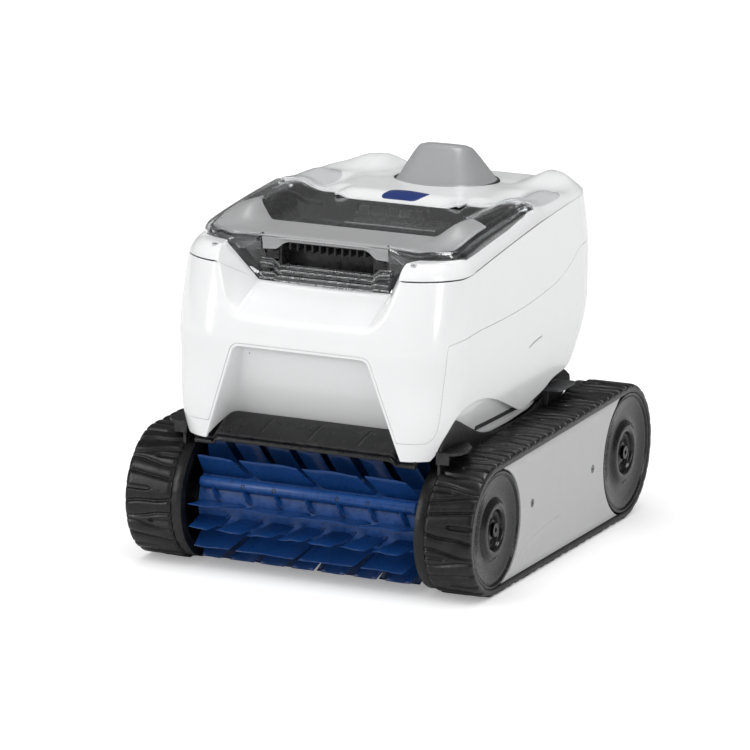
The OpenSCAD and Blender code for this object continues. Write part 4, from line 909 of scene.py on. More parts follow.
def recess_row(inset, depth):
    """One line round the recess, down to the brush plate."""
    low = 123.0
    for _ in range(6):
        line = recess_line(-inset, low)
        y = mix(wall(*on_front(line).T)[-1, 1], recess_back(low), depth)
        low = max(FOOT_Z, FRONT_Z + math.sqrt(max((PLATE_R + 0.4) ** 2 - (y - FRONT_Y) ** 2, 0)))
    line = resample(line, 3.0)
    at = lengths(line)
    line = read_line(line, at, np.linspace(0, at[-1], 72))
    line[0, 0] = 0
    y = mix(wall(*on_front(line).T)[:, 1], recess_back(line[:, 1]), depth)
    return np.stack([line[:, 0], y, line[:, 1]], -1)


def recess():
    """The recess: its walls run back from the edge and turn into a leaning back wall."""
    rows = [recess_row(*level) for level in LEVELS]
    rows += [rows[-1] * [1 - t, 1, 1] for t in np.linspace(0, 1, 14)[1:]]
    v, f, n = grid_mesh(rows, flip=True)
    slope = recess_back(v[:, 2] + 0.5) - recess_back(v[:, 2] - 0.5)
    flat_n = unit(np.stack([0 * slope, 0 * slope - 1, slope], -1))
    on_back = np.arange(len(v)) >= len(LEVELS) * len(rows[0])
    n = np.where(on_back[:, None], flat_n, n)
    # Slivers where the lines bunch up at the corners would shade badly
    f = [q for q in f if np.linalg.norm(np.cross(v[q[2]] - v[q[0]], v[q[-1]] - v[q[1]])) > 0.25]
    return both_halves(merged((v, f, n)))


skirt_parts.append(recess())


# ---------------- heights of the lid and the cover

LID_FRONT = -163.0
BAR_Z, BAR_BACK = 299.3, LID_FRONT + 63
COVER_T, RIM_W, RING_R, HORN_H = 2.6, 14.0, 48.3, 10.4


def arm_top(y):
    return mix(BAR_Z, 313.0, ease((y - BAR_BACK + 50) / 52)) + 0.012 * np.maximum(y - BAR_BACK - 2, 0)


def edge_top(y):
    u = np.maximum(y - LID_FRONT - 18, 0)
    return 299.0 + 0.150 * u - 0.00026 * u * u


def pane_top(y):
    return mix(BAR_Z, BAR_Z + 9, np.maximum(y - BAR_BACK, 0) / 90)


def lid_top(x, y):
    u = np.abs(x)
    inner = mix(pane_top(y), arm_top(y), ease((u - 76) / 24))
    outer = mix(arm_top(y), edge_top(y), ease((u - 100) / 26) ** 0.8)
    z = np.where(u < 100, inner, outer) + 2.6 * bump(u, 103, 9) * ease((y + 92) / 50)
    front = np.clip((LID_FRONT + 6 - y) / 8.0, 0, 1)
    return z - 3.0 * front ** 2 - 1.2 * np.clip((u - 60) / 50, 0, 1) * ease((LID_FRONT + 30 - y) / 30)


def deck_h(x, y):
    """The cover's height away from its rounded edge: a ridge each side, rising to a horn at the back."""
    u = np.abs(x)
    level = mix(seam_z(y) + 14, 312.0 - 3.2 * ease((y - 60) / 90), ease((y + 60) / 60))
    level = level - 5.5 * ease((16 - y) / 27) * (1 - ease((u - 40) / 22))
    ridge = (3.5 * bump(u, 110, 9) - 4.5 * bump(u, 86, 9)) * ease((y + 20) / 40) * (1 - ease((y - 56) / 40))
    horn = np.where(u < 84, ease((u - 56) / 28), 1 - 0.5 * ease((u - 92) / 26))
    deck = level + ridge + HORN_H * horn * ease((y - 88) / 58)
    # Beside the tongue the cover starts level with the lid's back edge
    near = (1 - ease((y - 5) / 24)) * ease((y + 24) / 16) * ease((u - 56) / 8)
    return mix(deck, lid_top(u, 1.5) - 0.4, near)


PLAN_NOSE, PLAN_TAIL = float(nose_y(SEAM_NOSE)), float(tail_y(SEAM_TAIL))


def plan_depth(x, y):
    """How far a point lies inside the body's outline at the seam."""
    x = np.abs(x)
    w = half_w(seam_z(y))
    d = np.minimum(np.minimum(w - x, y - PLAN_NOSE), PLAN_TAIL - y)
    for r, centre, end in ((NOSE_R, PLAN_NOSE + NOSE_R, -1), (TAIL_R, PLAN_TAIL - TAIL_R, 1)):
        corner = (x > w - r) & (end * (y - centre) > 0)
        d = np.where(corner, r - np.hypot(x - (w - r), y - centre), d)
    return d


def cover_top(x, y):
    near = 1 - (1 - np.minimum(np.clip(plan_depth(x, y), 0, None) / RIM_W, 1)) ** 2
    deck = np.maximum(deck_h(x, y), seam_z(y) + 2.5)
    return mix(seam_z(y) + 0.2, deck, 0.45 * np.sqrt(near) + 0.55 * near)


def plan_outline(inset):
    """Half of the body's outline seen from above, from the nose's middle to the tail's."""
    flat, back = float(half_w(SEAM_NOSE)) - NOSE_R, float(half_w(SEAM_TAIL)) - TAIL_R
    nose, tail, rn, rt = PLAN_NOSE + NOSE_R, PLAN_TAIL - TAIL_R, NOSE_R - inset, TAIL_R - inset
    pts = [[x, PLAN_NOSE + inset] for x in np.linspace(0, flat, 20)[:-1]]
    pts += [[flat + rn * math.sin(a), nose - rn * math.cos(a)] for a in np.linspace(0, PI / 2, 30)]
    pts += [[float(half_w(seam_z(y))) - inset, y] for y in np.linspace(nose, tail, 60)[1:-1]]
    pts += [[back + rt * math.cos(a), tail + rt * math.sin(a)] for a in np.linspace(0, PI / 2, 34)]
    return np.array(pts + [[x, PLAN_TAIL - inset] for x in np.linspace(back, 0, 14)[1:]])


# ---------------- top cover

TONGUE_X, TONGUE_Y = 61.3, -10.3
# The opening for the lid, from its rear corner round to the front corner
LID_EDGE = [(125.3, 4.5), (125.3, -144.3), (117.7, -154.7), (103, -160.5), (90.5, -166.0), (88.6, -173.4)]


def cover():
    """The top cover: it runs round the lid's opening and the scoop's, with a tongue between them."""
    outline = plan_outline(0.05)
    start = np.argmax(outline[:, 0] > BIB_TOP_X + 0.5)
    outer = np.array([[BIB_TOP_X + 0.5, outline[start - 1, 1]], *outline[start:]])
    ring = [(RING_R * math.sin(a), PUMP_Y + RING_R * math.cos(a)) for a in np.linspace(0, PI, 40)]
    ring[-1] = (0, PUMP_Y - RING_R)
    tongue = [(0, TONGUE_Y), (TONGUE_X, TONGUE_Y), (TONGUE_X, LID_EDGE[0][1])]
    cut = loop_from([outer, ring, [*tongue, LID_EDGE[0]], LID_EDGE], 2.5)
    fill = hex_fill((0, -215), (140, 180), 5.5)
    fill = [fill[plan_depth(*fill.T) > RIM_W - 0.5]]
    fill += [resample(plan_outline(k), 3.0) for k in (1.2, 2.4, 4.0, 6.0, 8.5, 11.5)]
    fill = np.concatenate(fill)
    skin = panels(height_surface(cover_top), [cut], fill, COVER_T, lip=0.5, gap=0.05, step=2.4)
    # The cover's inner corners run down to a point beside the drop
    top_xy = mix(outer[0], np.array(LID_EDGE[-1]), np.linspace(0, 1, 12)[:, None])
    top_edge = np.column_stack([top_xy, cover_top(*top_xy.T) + 0.05])
    point = np.array([63.2, -161.2, 258.3])
    return [skin, sheets([mix(top_edge, point, t) for t in np.linspace(0, 0.985, 12)], 1.6)]


piece("cover_moulding", cover(), WHITE, stands_for=("top_cover",))


# ---------------- tracks

BELT_T, RIDGE_H, REPEATS = 4.0, 3.5, 17
RISE = math.atan2(REAR_R - FRONT_R, REAR_Y - FRONT_Y)
TREAD_W = TRACK_OUT - TRACK_IN
HUB_GAP, GUARD_T = 0.3, 0.5
WHEELS = {"front": (FRONT_Y, FRONT_Z, FRONT_R), "rear": (REAR_Y, REAR_Z, REAR_R)}


def belt_path(step):
    """The loop round both wheels under the tread: points and outward normals, from the front wheel's foot."""
    bottom, top = -PI / 2, PI / 2 + RISE
    pts, nor = [], []

    def arc(wheel, a0, a1):
        y, z, r = wheel[0], wheel[1], wheel[2] - RIDGE_H
        n = int(abs(a1 - a0) * r / step)
        turns = [mix(a0, a1, k / n) for k in range(n + 1)]
        out = [np.array([-math.cos(a), math.sin(a)]) for a in turns]
        return [np.array([y, z]) + r * q for q in out], out

    runs = [arc(WHEELS["front"], bottom, top), arc(WHEELS["rear"], top, 3 * PI / 2)]
    for (around, out), (after, _) in zip(runs, runs[::-1]):
        pts += around[:-1]
        nor += out[:-1]
        n = int(np.linalg.norm(after[0] - around[-1]) / step)
        pts += [mix(around[-1], after[0], k / n) for k in range(n)]
        nor += [out[-1]] * n
    return np.array(pts), np.array(nor)


def tread_height(phase, u):
    """Height of the tread, 0 to 1, at a place in the repeat and across the belt; u is 0 inside, 1 outside."""
    def away(at):
        return np.abs((phase - at + 0.5) % 1.0 - 0.5)

    slant_g, slant_d = (u - 0.5) * 0.105, -(u - 0.5) * 0.1
    s_bend = 0.014 * np.sin((u - 0.5) * 2 * PI)
    h = np.ones(phase.shape)
    for at in (slant_g, 0.213 + slant_g + s_bend, 0.39 + slant_d - s_bend, 0.617 + slant_d + s_bend):
        h = h - 0.62 * bump(away(at), 0, 0.021) - 0.3 * bump(away(at), 0, 0.055)
    # Pockets: one opens at the outer edge, the next at the inner edge
    for at, share, reach in ((0.795, u, 0.56), (0.31, 1 - u, 0.5)):
        d = away(at)
        along = (share - (1 - reach)) / reach
        half = 0.036 * np.sqrt(np.clip(along / 0.2, 0, 1))
        pocket = np.where(along > 0, ease((half - d + 0.006) / 0.014), 0)
        rim = np.where(along > -0.06, bump(d, half + 0.016, 0.01), 0)
        h = h * (1 - 0.85 * pocket) + 0.06 * rim
    return np.clip(h, 0.0, 1.04)


def track(side):
    """A belt: its tread as a height field round the path, closed by its edges and its inner face."""
    pts, nor = belt_path(0.7)
    gaps = np.linalg.norm(np.roll(pts, -1, 0) - pts, axis=1)
    run = np.concatenate([[0], np.cumsum(gaps)[:-1]]) / gaps.sum()
    us = np.concatenate([[0.0, 0.012, 0.03], np.linspace(0.055, 0.82, 34), np.arange(0.84, 0.95, 0.02),
                         [0.955, 0.97, 0.985, 1.0]])
    phase, u = np.meshgrid((run * REPEATS + 0.05) % 1.0, us, indexing="ij")
    edge_out, edge_in = np.clip((1 - u) * TREAD_W / 5.5, 0, 1), np.clip(u * TREAD_W / 2.0, 0, 1)
    rounding = (0.3 + 0.7 * np.sqrt(1 - (1 - edge_out) ** 2)) * (0.55 + 0.45 * ease(edge_in))
    lift = np.minimum(RIDGE_H * (0.06 + 0.9 * tread_height(phase, u) * rounding), RIDGE_H - 0.05)
    # The belt's edges and its inner face, each as a share across and a depth
    under = ((1.0, 0.4), (1.0, BELT_T - 0.4), (0.99, BELT_T), (0.01, BELT_T), (0.0, BELT_T - 0.4), (0.0, 0.4))
    across = np.concatenate([u, np.tile([share for share, _ in under], (len(pts), 1))], axis=1)
    lift = np.concatenate([lift, np.tile([-depth for _, depth in under], (len(pts), 1))], axis=1)
    ring = pts[:, None, :] + nor[:, None, :] * lift[..., None]
    ring = np.concatenate([side * mix(TRACK_IN, TRACK_OUT, across)[..., None], ring], -1)
    faces = grid_faces(*across.shape, close_rows=True, close_cols=True)
    return ring.reshape(-1, 3), faces if side > 0 else turned(faces)


for label, side in SIDES:
    piece("tread_" + label, track(side), TREAD, stands_for=("track_" + label,))


# ---------------- hub caps

def hub_cap(wheel, side):
    """A dished cap with a thin raised rim, a raised ring round a well and a domed middle."""
    y, z, r = WHEELS[wheel]
    r -= RIDGE_H + BELT_T + HUB_GAP
    # Distance in from the rim and depth under the track's outer face, then shares of the radius and depth
    rim = [(0.2, 7.0), (0, 5.5), (0, 1.4), (0.5, 0.7), (1.4, 0.5), (2.3, 0.8), (2.9, 1.7), (3.4, 2.3),
           (4.3, 2.0), (5.4, 1.9), (8, 2.5), (13, 3.7), (19, 4.6), (23, 4.5)]
    hub = [(0.53, 3.7), (0.49, 2.4), (0.455, 1.25), (0.42, 0.75), (0.385, 0.75), (0.36, 1.2), (0.345, 2.0),
           (0.335, 3.2), (0.325, 4.8), (0.30, 5.9), (0.25, 6.2), (0.2, 5.7), (0.165, 4.9), (0.13, 4.4)]
    profile = [(r - inset, TRACK_OUT - depth) for inset, depth in rim]
    profile += [(share * r, TRACK_OUT - depth) for share, depth in hub]
    profile += [(6.35, TRACK_OUT - 4.2), (6.3, TRACK_OUT - 6.5)]
    return lathe(y, z, smooth_line(profile, 3), 128, side)


for label, side in SIDES:
    piece("front_cap_" + label, hub_cap("front", side), HUB, "front_wheel_%s_body" % label,
          stands_for=("front_hub_cap_" + label,))
piece("rear_caps", [hub_cap("rear", side) for _, side in SIDES], HUB, "rear_drive",
      stands_for=("rear_hub_caps",))


# ---------------- side panels

PANEL_FACE = TRACK_OUT - 0.1
CAP_GAP = 1.6
BELT_IN = RIDGE_H + BELT_T
LENS_Y, LENS_Z, LENS_LEN = -122.0, 20.5, 125.0
PANEL_SCREW_Z, PANEL_SCREW_APART, SCREW_HOLE_R = 66.0, 71.0, 3.8


def lens_edge(t, sag):
    """The scallop's edge at a share t of its length, bowed by sag."""
    return LENS_Z * (1 + t) + sag * np.sin(PI * t)


def panel_outline():
    """The side panel's outline in Y and Z: straight edges beside the belt, hollow ends round the hub caps."""
    inset = BELT_IN + GUARD_T
    up = np.array([-math.sin(2 * RISE), math.cos(2 * RISE)])
    top = {k: np.array([y, z]) + up * (r - inset) for k, (y, z, r) in WHEELS.items()}
    foot = {k: np.array([y, inset]) for k, (y, _, _) in WHEELS.items()}

    def leave(ends, wheel, other):
        """Where the line between two wheels leaves the gap round the first wheel's cap."""
        y, z, r = WHEELS[wheel]
        p = mix(ends[wheel], ends[other], np.linspace(0, 1, 4000)[:, None])
        return p[np.argmax(np.hypot(p[:, 0] - y, p[:, 1] - z) > r - BELT_IN + CAP_GAP)]

    def arc(wheel, p, q, least):
        """The hollow end from p to q, with its angles counted from least."""
        y, z, r = WHEELS[wheel]
        a0, a1 = ((math.atan2(end[1] - z, end[0] - y) - least) % (2 * PI) + least for end in (p, q))
        r += CAP_GAP - BELT_IN
        return [(y + r * math.cos(t), z + r * math.sin(t)) for t in np.linspace(a0, a1, 40)]

    a, d = leave(top, "front", "rear"), leave(foot, "front", "rear")
    b, c = leave(top, "rear", "front"), leave(foot, "rear", "front")
    return loop_from([arc("front", a, d, -PI), [d, c], arc("rear", c, b, 0), [b, a]], 2.5)


def panel_height(y, z):
    """The panel's outer face: nearly flat, its long edges rolled over, with a shallow lens-shaped scallop."""
    top = FRONT_Z + (FRONT_R - BELT_IN) + (y - FRONT_Y) * math.tan(2 * RISE)
    drop = 1.3 * (1 - ease((z - BELT_IN) / 7.0)) + 1.1 * (1 - ease((top - z) / 6.0))
    t = np.clip((y - LENS_Y) / LENS_LEN, 0, 1)
    upper, lower = lens_edge(t, 6.5), lens_edge(t, -1.0)
    in_lens = np.clip(upper - z, 0, 1) * np.clip((z - lower) / 3.0, 0, 1) * ((t > 0) & (t < 1))
    slope = np.clip((upper - z) / np.maximum(upper - lower, 0.5), 0, 1)
    return PANEL_FACE - drop - 0.55 * ease(in_lens) * (1 - slope)


def side_panel():
    face = surface_of(lambda y, z: np.stack([panel_height(y, z), y, z], -1))
    cuts = [panel_outline()]
    for y in mid_of("side_panel_screws")[1] + [-PANEL_SCREW_APART, PANEL_SCREW_APART]:
        turn = np.linspace(0, -2 * PI, 25)[:-1]
        ring = np.stack([y + SCREW_HOLE_R * np.cos(turn), PANEL_SCREW_Z + SCREW_HOLE_R * np.sin(turn)], -1)
        cuts.append((ring, np.ones(len(ring), bool)))
    t = np.linspace(0, 1, 50)
    fill = [hex_fill((-160, 0), (160, 130), 4.0)]
    y = LENS_Y + LENS_LEN * t
    fill += [np.stack([y, lens_edge(t, sag)], -1) for sag in (6.5, 5.8, 5.0, -1, -0.2, 0.8)]
    fill += [np.stack([np.linspace(-150, 150, 120), np.full(120, BELT_IN + k)], -1) for k in (2.2, 4, 6)]
    return panel(face, cuts, np.concatenate(fill), 2.4, lip=0.5, step=2.2)


right_panel = side_panel()
for label, side in SIDES:
    piece("panel_" + label, right_panel if side > 0 else mirrored(right_panel), PANEL,
          stands_for=("side_panel_" + label,))


# ---------------- brush

SLEEVE_R, BRUSH_R, BRUSH_END = 34.4, 57.0, 104.6
WIDE = [(-BRUSH_END, -71.0), (-64.5, -8.5), (-3.8, 48.8), (55.5, 95.0)]
NARROW = [(-BRUSH_END, -87.5), (-78.3, -54.8), (-48.6, -25.7), (-18.6, 3.2), (10.2, 32.2), (41.2, 63.1),
          (71.8, 95.3)]
ROWS, FIRST_ROW, ROW_STEP, SHIFT = 16, 46.0, 22.5, 12.5
BAR_ROWS, BAR_R, BAR_AT = (1, 9), 5.6, SLEEVE_R + 1.8


def on_brush(x, r, a, along=0.0):
    """A point at radius r and angle a about the brush's axis, moved along the turn."""
    c, s = math.cos(a), math.sin(a)
    return [x, FRONT_Y - r * c - along * s, FRONT_Z + r * s - along * c]


def round_bar(a):
    """A bar with rounded ends along the sleeve at angle a."""
    quarter = np.linspace(0, PI / 2, 4)
    profile = [(BAR_R * math.sin(q), -BRUSH_END + BAR_R * 0.5 * (1 - math.cos(q))) for q in quarter]
    profile += [(BAR_R * math.cos(q), BRUSH_END - BAR_R * 0.5 * (1 - math.sin(q))) for q in quarter]
    return lathe(*on_brush(0, BAR_AT, a)[1:], profile, 32)


def blade(x0, x1, angle, seed):
    """A moulded blade: slanted ends, thicker at the root, a thin rounded tip that waves a little."""
    levels = [(SLEEVE_R - 2.0, 2.4), (SLEEVE_R + 1.2, 1.45), (SLEEVE_R + 4.0, 1.1),
              (mix(SLEEVE_R, BRUSH_R, 0.5), 0.95), (BRUSH_R - 3.0, 0.8), (BRUSH_R - 0.5, 0.7),
              (BRUSH_R, 0.25)]
    cols = max(6, int((x1 - x0) / 3.0))
    w1, w2 = np.random.RandomState(seed).uniform(0, 2 * PI, 2)
    rows = []
    for r, half in levels:
        root = (BRUSH_R - r) / (BRUSH_R - SLEEVE_R)
        start = x0 + (0.0 if x0 <= -BRUSH_END else SHIFT * root)
        end = min(x1 + SHIFT * root, BRUSH_END)
        sides = ([], [])
        for u in np.arange(cols + 1) / cols:
            wave = 0.7 * math.sin(u * 4.2 + w1) + 0.35 * math.sin(u * 9 + w2)
            wave = (1 - root) * wave - 2.2 * (1 - root) ** 2
            thin = half * (0.35 + 0.65 * min(1, min(u, 1 - u) * (end - start) / 1.2))
            for store, along in zip(sides, (wave + thin, wave - thin)):
                store.append(on_brush(mix(start, end, u), r, angle, along))
        rows.append(sides[0] + sides[1][::-1])
    n = len(rows[0])
    last = (len(rows) - 1) * n
    tip = [(last + i, last + i + 1, last + n - 2 - i, last + n - 1 - i) for i in range(cols)]
    return np.array(rows).reshape(-1, 3), turned(grid_faces(len(rows), n, close_cols=True) + tip)


def rib(x, deg0, deg1, slant, height):
    """A low curved rib across the sleeve between two rows."""
    rows = []
    for t in np.linspace(0, 1, 12):
        rise = height * math.sin(PI * t) ** 0.6
        half = [(3.2, -rise - 0.5), (1.6, -0.55 * rise), (0.6, -0.4)]
        section = [(-dx, dr) for dx, dr in half] + [(0, 0)] + half[::-1]
        a, cx = math.radians(mix(deg0, deg1, t)), x + slant * (t - 0.5)
        rows.append([on_brush(cx + dx, SLEEVE_R + rise + dr, a) for dx, dr in section])
    return np.array(rows).reshape(-1, 3), grid_faces(12, 7)


def bar_hole(x, a):
    """A small dark hole with a soft edge in a bar."""
    q = a - math.radians(22)
    out = np.array([-math.cos(q), math.sin(q)])
    cy, cz = np.array(on_brush(0, BAR_AT, a)[1:]) + out * (BAR_R + 0.05)
    ring = []
    for lift, r in ((-0.6, 1.9), (0.12, 1.9), (0.12, 1.5), (-0.3, 0.9)):
        ring += [[x + r * math.cos(t), cy + out[0] * lift + out[1] * r * math.sin(t),
                  cz + out[1] * lift - out[0] * r * math.sin(t)] for t in np.linspace(0, 2 * PI, 17)[:-1]]
    return np.array(ring), grid_faces(4, 16, close_cols=True) + [tuple(range(48, 64))]


def brush_parts():
    """The sleeve, then row by row its blades, with two bars in place of blades and ribs between the rows."""
    inner = SLEEVE_R - 1.5
    sleeve = [(inner, -BRUSH_END), (SLEEVE_R, -BRUSH_END), (SLEEVE_R, BRUSH_END), (inner, BRUSH_END)]
    parts, holes = [lathe(FRONT_Y, FRONT_Z, sleeve, 96)], []
    for k in range(ROWS):
        deg = FIRST_ROW - ROW_STEP * k
        if k in BAR_ROWS:
            a = math.radians(deg + ROW_STEP - 16)
            parts.append(round_bar(a))
            holes += [bar_hole(x, a) for x in (-60.8, -30.8, 29.5, 58.8)]
            parts += [rib(x + 2, deg + 3, deg - 19, 8, 7.5) for x in range(-90, 91, 30)]
            continue
        for m, (x0, x1) in enumerate(NARROW if k % 2 else WIDE):
            parts.append(blade(x0, x1, math.radians(deg), 31 * k + m))
        if k % 2:
            for x in (-77.0, -46.5, -16.0, 13.5, 43.5, 73.5):
                parts.append(rib(x - 3, deg + 7, deg - 15, -11, 3.0))
    return parts, holes


brush_mesh, hole_mesh = brush_parts()
brush = piece("brush_moulding", brush_mesh, BRUSH, "brush", stands_for=("brush_blades",))
brush.modifiers.new("edges", "EDGE_SPLIT").split_angle = math.radians(40)
piece("brush_holes", hole_mesh, BLACK, "brush")


# ---------------- outlet scoop

SCOOP_LOW, SCOOP_TOP, SCOOP_FALL = 311.3, 345.0, 5.0
SCOOP_BASE = [(40.5, 122), (44.0, 108), (43.0, 92), (38.0, 76), (29.0, 65), (16, 60.6), (0, 59.8)]
SCOOP_CROWN = [(15.0, 118), (19.5, 109), (21.8, 99), (20.6, 90.5), (15.0, 85), (8.0, 82.8), (0, 82.2)]
# How far in towards the crown, and how far up, the scoop's side has come
SCOOP_SIDE = [(-0.05, -0.035), (-0.03, 0.0), (0.04, 0.05), (0.11, 0.13), (0.3, 0.34), (0.55, 0.61),
              (0.74, 0.8), (0.86, 0.905), (0.96, 0.962), (1.1, 0.99)]


def scoop():
    """The outlet's scoop: a crown that falls away to the back, over sides that flare down to the cover."""
    base, crown = (np.concatenate([half * [-1, 1], half[-2::-1]])
                   for half in (smooth_line(SCOOP_BASE, 8), smooth_line(SCOOP_CROWN, 8)))
    fold = 0.96

    def spine(p, front):
        return np.stack([0 * p[:, 0], np.clip(p[:, 1], front, 119)], -1)

    def fall(p):
        return SCOOP_FALL * np.clip((p[:, 1] - 84) / 34, 0, 1) ** 1.5

    rows = []
    for a, b in smooth_line(SCOOP_SIDE, 4):
        p = mix(base, crown, min(a, 1.0))
        if a > fold:
            p = mix(p, spine(crown, 90), (a - fold) * 0.9)
        rows.append(np.column_stack([p, mix(SCOOP_LOW, SCOOP_TOP - 0.6, b) - fall(p) * b]))
    top = rows[-1]
    for t in np.linspace(0, 1, 9)[1:]:
        p = mix(top[:, :2], spine(top, 92), t)
        z = SCOOP_TOP - 0.42 * (1 - t) ** 2 - fall(p)
        rows.append(np.column_stack([p, np.maximum(z, top[:, 2])]))
    return sheet(rows, 2.2)


piece("scoop", scoop(), GREY, stands_for=("outlet_hood",))


# ---------------- lid

DROP_TOP_Z, LIP_X = 270.6, 61.5
BAR_OUT = smooth_line([(62, -162.3), (76, -163.2), (88, -163.4), (98, -160.0), (107, -155.2), (113.5, -148),
                       (116.5, -138), (117.5, -110), (117.8, -84)], 5)
BAR_END = [(117.8, -84), (112, -79), (99.0, -77)]
BAR_IN = [(99.0, -77), (97.5, -84), (92.5, -91.5), (79, -101.5), (0, -101.5)]
PANE = [(0, -104.5), (81, -104.5), (95, -94), (102.5, -82), (116, -80), (116.4, -40), (116.8, 1.5),
        (61.9, 1.5), (61.9, -11.5), (0, -11.5)]
# The rim's outer and inner edges seen from above
RIM_OUT = smooth_line([(63.5, -163.0), (76, -165.2), (88, -166.0), (99, -163.0), (109.5, -158.2),
                       (117.5, -151), (122.5, -142), (124.4, -128), (124.6, -90), (124.6, -40),
                       (124.6, 1)], 6)
RIM_IN = smooth_line([(58, -160.6), (72, -161.0), (84, -161.2), (94, -158.4), (102, -154), (108, -147.5),
                      (112, -138), (114, -124), (114.5, -90), (115, -40), (115.5, 1)], 6)
CORNER_OUT = smooth_line([(62.5, -161.5, 259.0), (66, -163.0, 263.5), (74, -166.5, 273.5),
                          (83.0, -169.5, 283.5), (86.5, -169.8, 288.5)], 5)
CORNER_IN = smooth_line([(55, -156.5, 262.0), (56, -156.5, 268.0), (57.5, -157.5, 277.0), (59, -160.0, 286.0),
                         (62, -161.8, 293.0)], 5)


def lid_bar():
    """The grey front bar with its arms, and its front face, notched over the handle's opening."""
    cut = loop_from([[(0, -161.6), BAR_OUT[0]], BAR_OUT, BAR_END, BAR_IN], 2.2)
    top = panels(height_surface(lid_top), [cut], hex_fill((0, -170), (130, 8), 4.0), 1.5, step=2.2)
    x = np.linspace(0, 60, 40)
    low = np.interp(x, [0, 36, 41, 45.5, 48, 60], [293.2, 293.2, 291.2, 287.2, 285.9, 285.2])
    y = -162.2 - 0.4 * (x / 60) ** 2
    face = [np.stack([x, y + 3.0 * t + 0.5 * math.sin(PI * t), mix(296.0, low, t)], -1)
            for t in np.linspace(0, 1, 7)]
    return [top, sheets(face, 1.8, flip=True)]


def lid_rim(shares_and_drops, t, fold=False):
    """A clear wall along the rim; where it folds, it is lower beside the drop."""
    rows = []
    for share, drop in shares_and_drops:
        p = mix(RIM_IN, RIM_OUT, share)
        low = drop * (0.4 + 0.6 * ease((p[:, 0] - 60) / 30)) if fold else drop
        rows.append(np.column_stack([p, lid_top(*p.T) - low]))
    return sheets(rows, t)


def lip_line(level):
    """The height of a lip along the drop: it steps up beside the handle, and less so low down."""
    x = np.linspace(0, LIP_X, 44)
    step = np.interp(x, [0, 44.5, 49.5, 60], [0, 0, 5.0, 5.6])
    return x, DROP_TOP_Z + step * (1 - (0.72 if level < -7 else 0) * step / 5.6) + level


def lid_lip(y0, y1, top, low):
    """A stepped lip below the handle's opening: a ledge, a rounded edge and a face."""
    front = y0 - 0.7
    section = ((y1 + 4.0, top + 0.4), (y1, top), (y0, top), (front, top - 0.7), (front, low), (y0 + 0.6, low))
    x, z = lip_line(top)
    return sheets([np.stack([x, 0 * x + y, z - top + dz], -1) for y, dz in section], 1.0, flip=True)


def painted_lip_highlight(y, level):
    """A bright rounded strip along a lip's edge: a painted highlight."""
    x, z = lip_line(level)
    turn = np.linspace(-PI / 2, PI / 2, 7)
    rows = [np.stack([x, 0 * x + y - 0.45 * math.cos(a), z + 0.45 * math.sin(a)], -1) for a in turn]
    return sheets(rows, 0.3, flip=True)


def lid_glass():
    """The clear pane under the frame, the rim and its inner wall, the sloping corners and stepped lips."""
    under = height_surface(lambda x, y: lid_top(x, y) - 1.6)
    pane = panels(under, [loop_from([PANE])], hex_fill((0, -110), (130, 8), 4.5), 2.3, lip=0.5, step=2.8)
    rim = ((0.0, 1.4), (0.35, 1.5), (0.7, 1.9), (0.9, 2.6), (1.0, 4.2), (1.0, 7.5), (0.98, 11.0), (0.9, 14.0))
    inner = [(0.45, drop) for drop in (2.5, 6.0, 10.0, 13.5)]
    corner = [mix(CORNER_OUT, CORNER_IN, t) + [0, 2.4 * math.sin(PI * t), 0] for t in np.linspace(0, 1, 9)]
    lips = ((-157.5, -153.0, 0.0, -3.2), (-160.0, -155.0, -3.6, -7.0), (-161.8, -158.0, -8.0, -12.2))
    steps = [lid_lip(*lip) for lip in lips]
    return [pane, lid_rim(rim, 2.2, fold=True), lid_rim(inner, 1.6), sheets(corner, 1.8), *steps]


piece("lid_bar", lid_bar(), LID_GREY, "lid", stands_for=("lid_frame",))
piece("lid_glass", lid_glass(), CLEAR, "lid", stands_for=("lid_window",))
# Bright strips along the lips' edges stand in for their highlights: painted highlight.
painted_lip_highlights = [painted_lip_highlight(*at) for at in ((-158.2, 0.35), (-160.8, -3.3), (-162.7, -7.9), (-162.9, -12.3))]
piece("lid_lip_highlights", painted_lip_highlights, LIP_HIGHLIGHT, "lid")


# ---------------- seen through the lid

def window_well():
    """A dark wall round the opening under the pane."""
    top = np.array([(0, -103.5), (79, -103.5), (93, -95), (101, -83), (108, -40), (112, 0), (112, 3)])
    low = np.array([(0, -101.0), (74, -101.0), (87, -93), (94.5, -84), (99, -40), (101, 0), (101, 3)])
    share = np.linspace(0, 1, 60)
    top, low = (spread(line, 60, lengths(line) / lengths(line)[-1]) for line in (top, low))
    rows = []
    for t, front, back in ((0, 0, 0), (0.1, -1.5, -1.5), (0.5, -12, -14), (1.0, -30, -34)):
        p = mix(top, low, t)
        rows.append(np.column_stack([p, lid_top(*p.T) - 5.0 + mix(front, back, share)]))
    return sheets(rows, 1.5, flip=True)


def boxes(*blocks):
    """Rounded blocks as one mesh; each is its low corner, its high corner and its radius."""
    return joined([box_mesh(*block) for block in blocks])


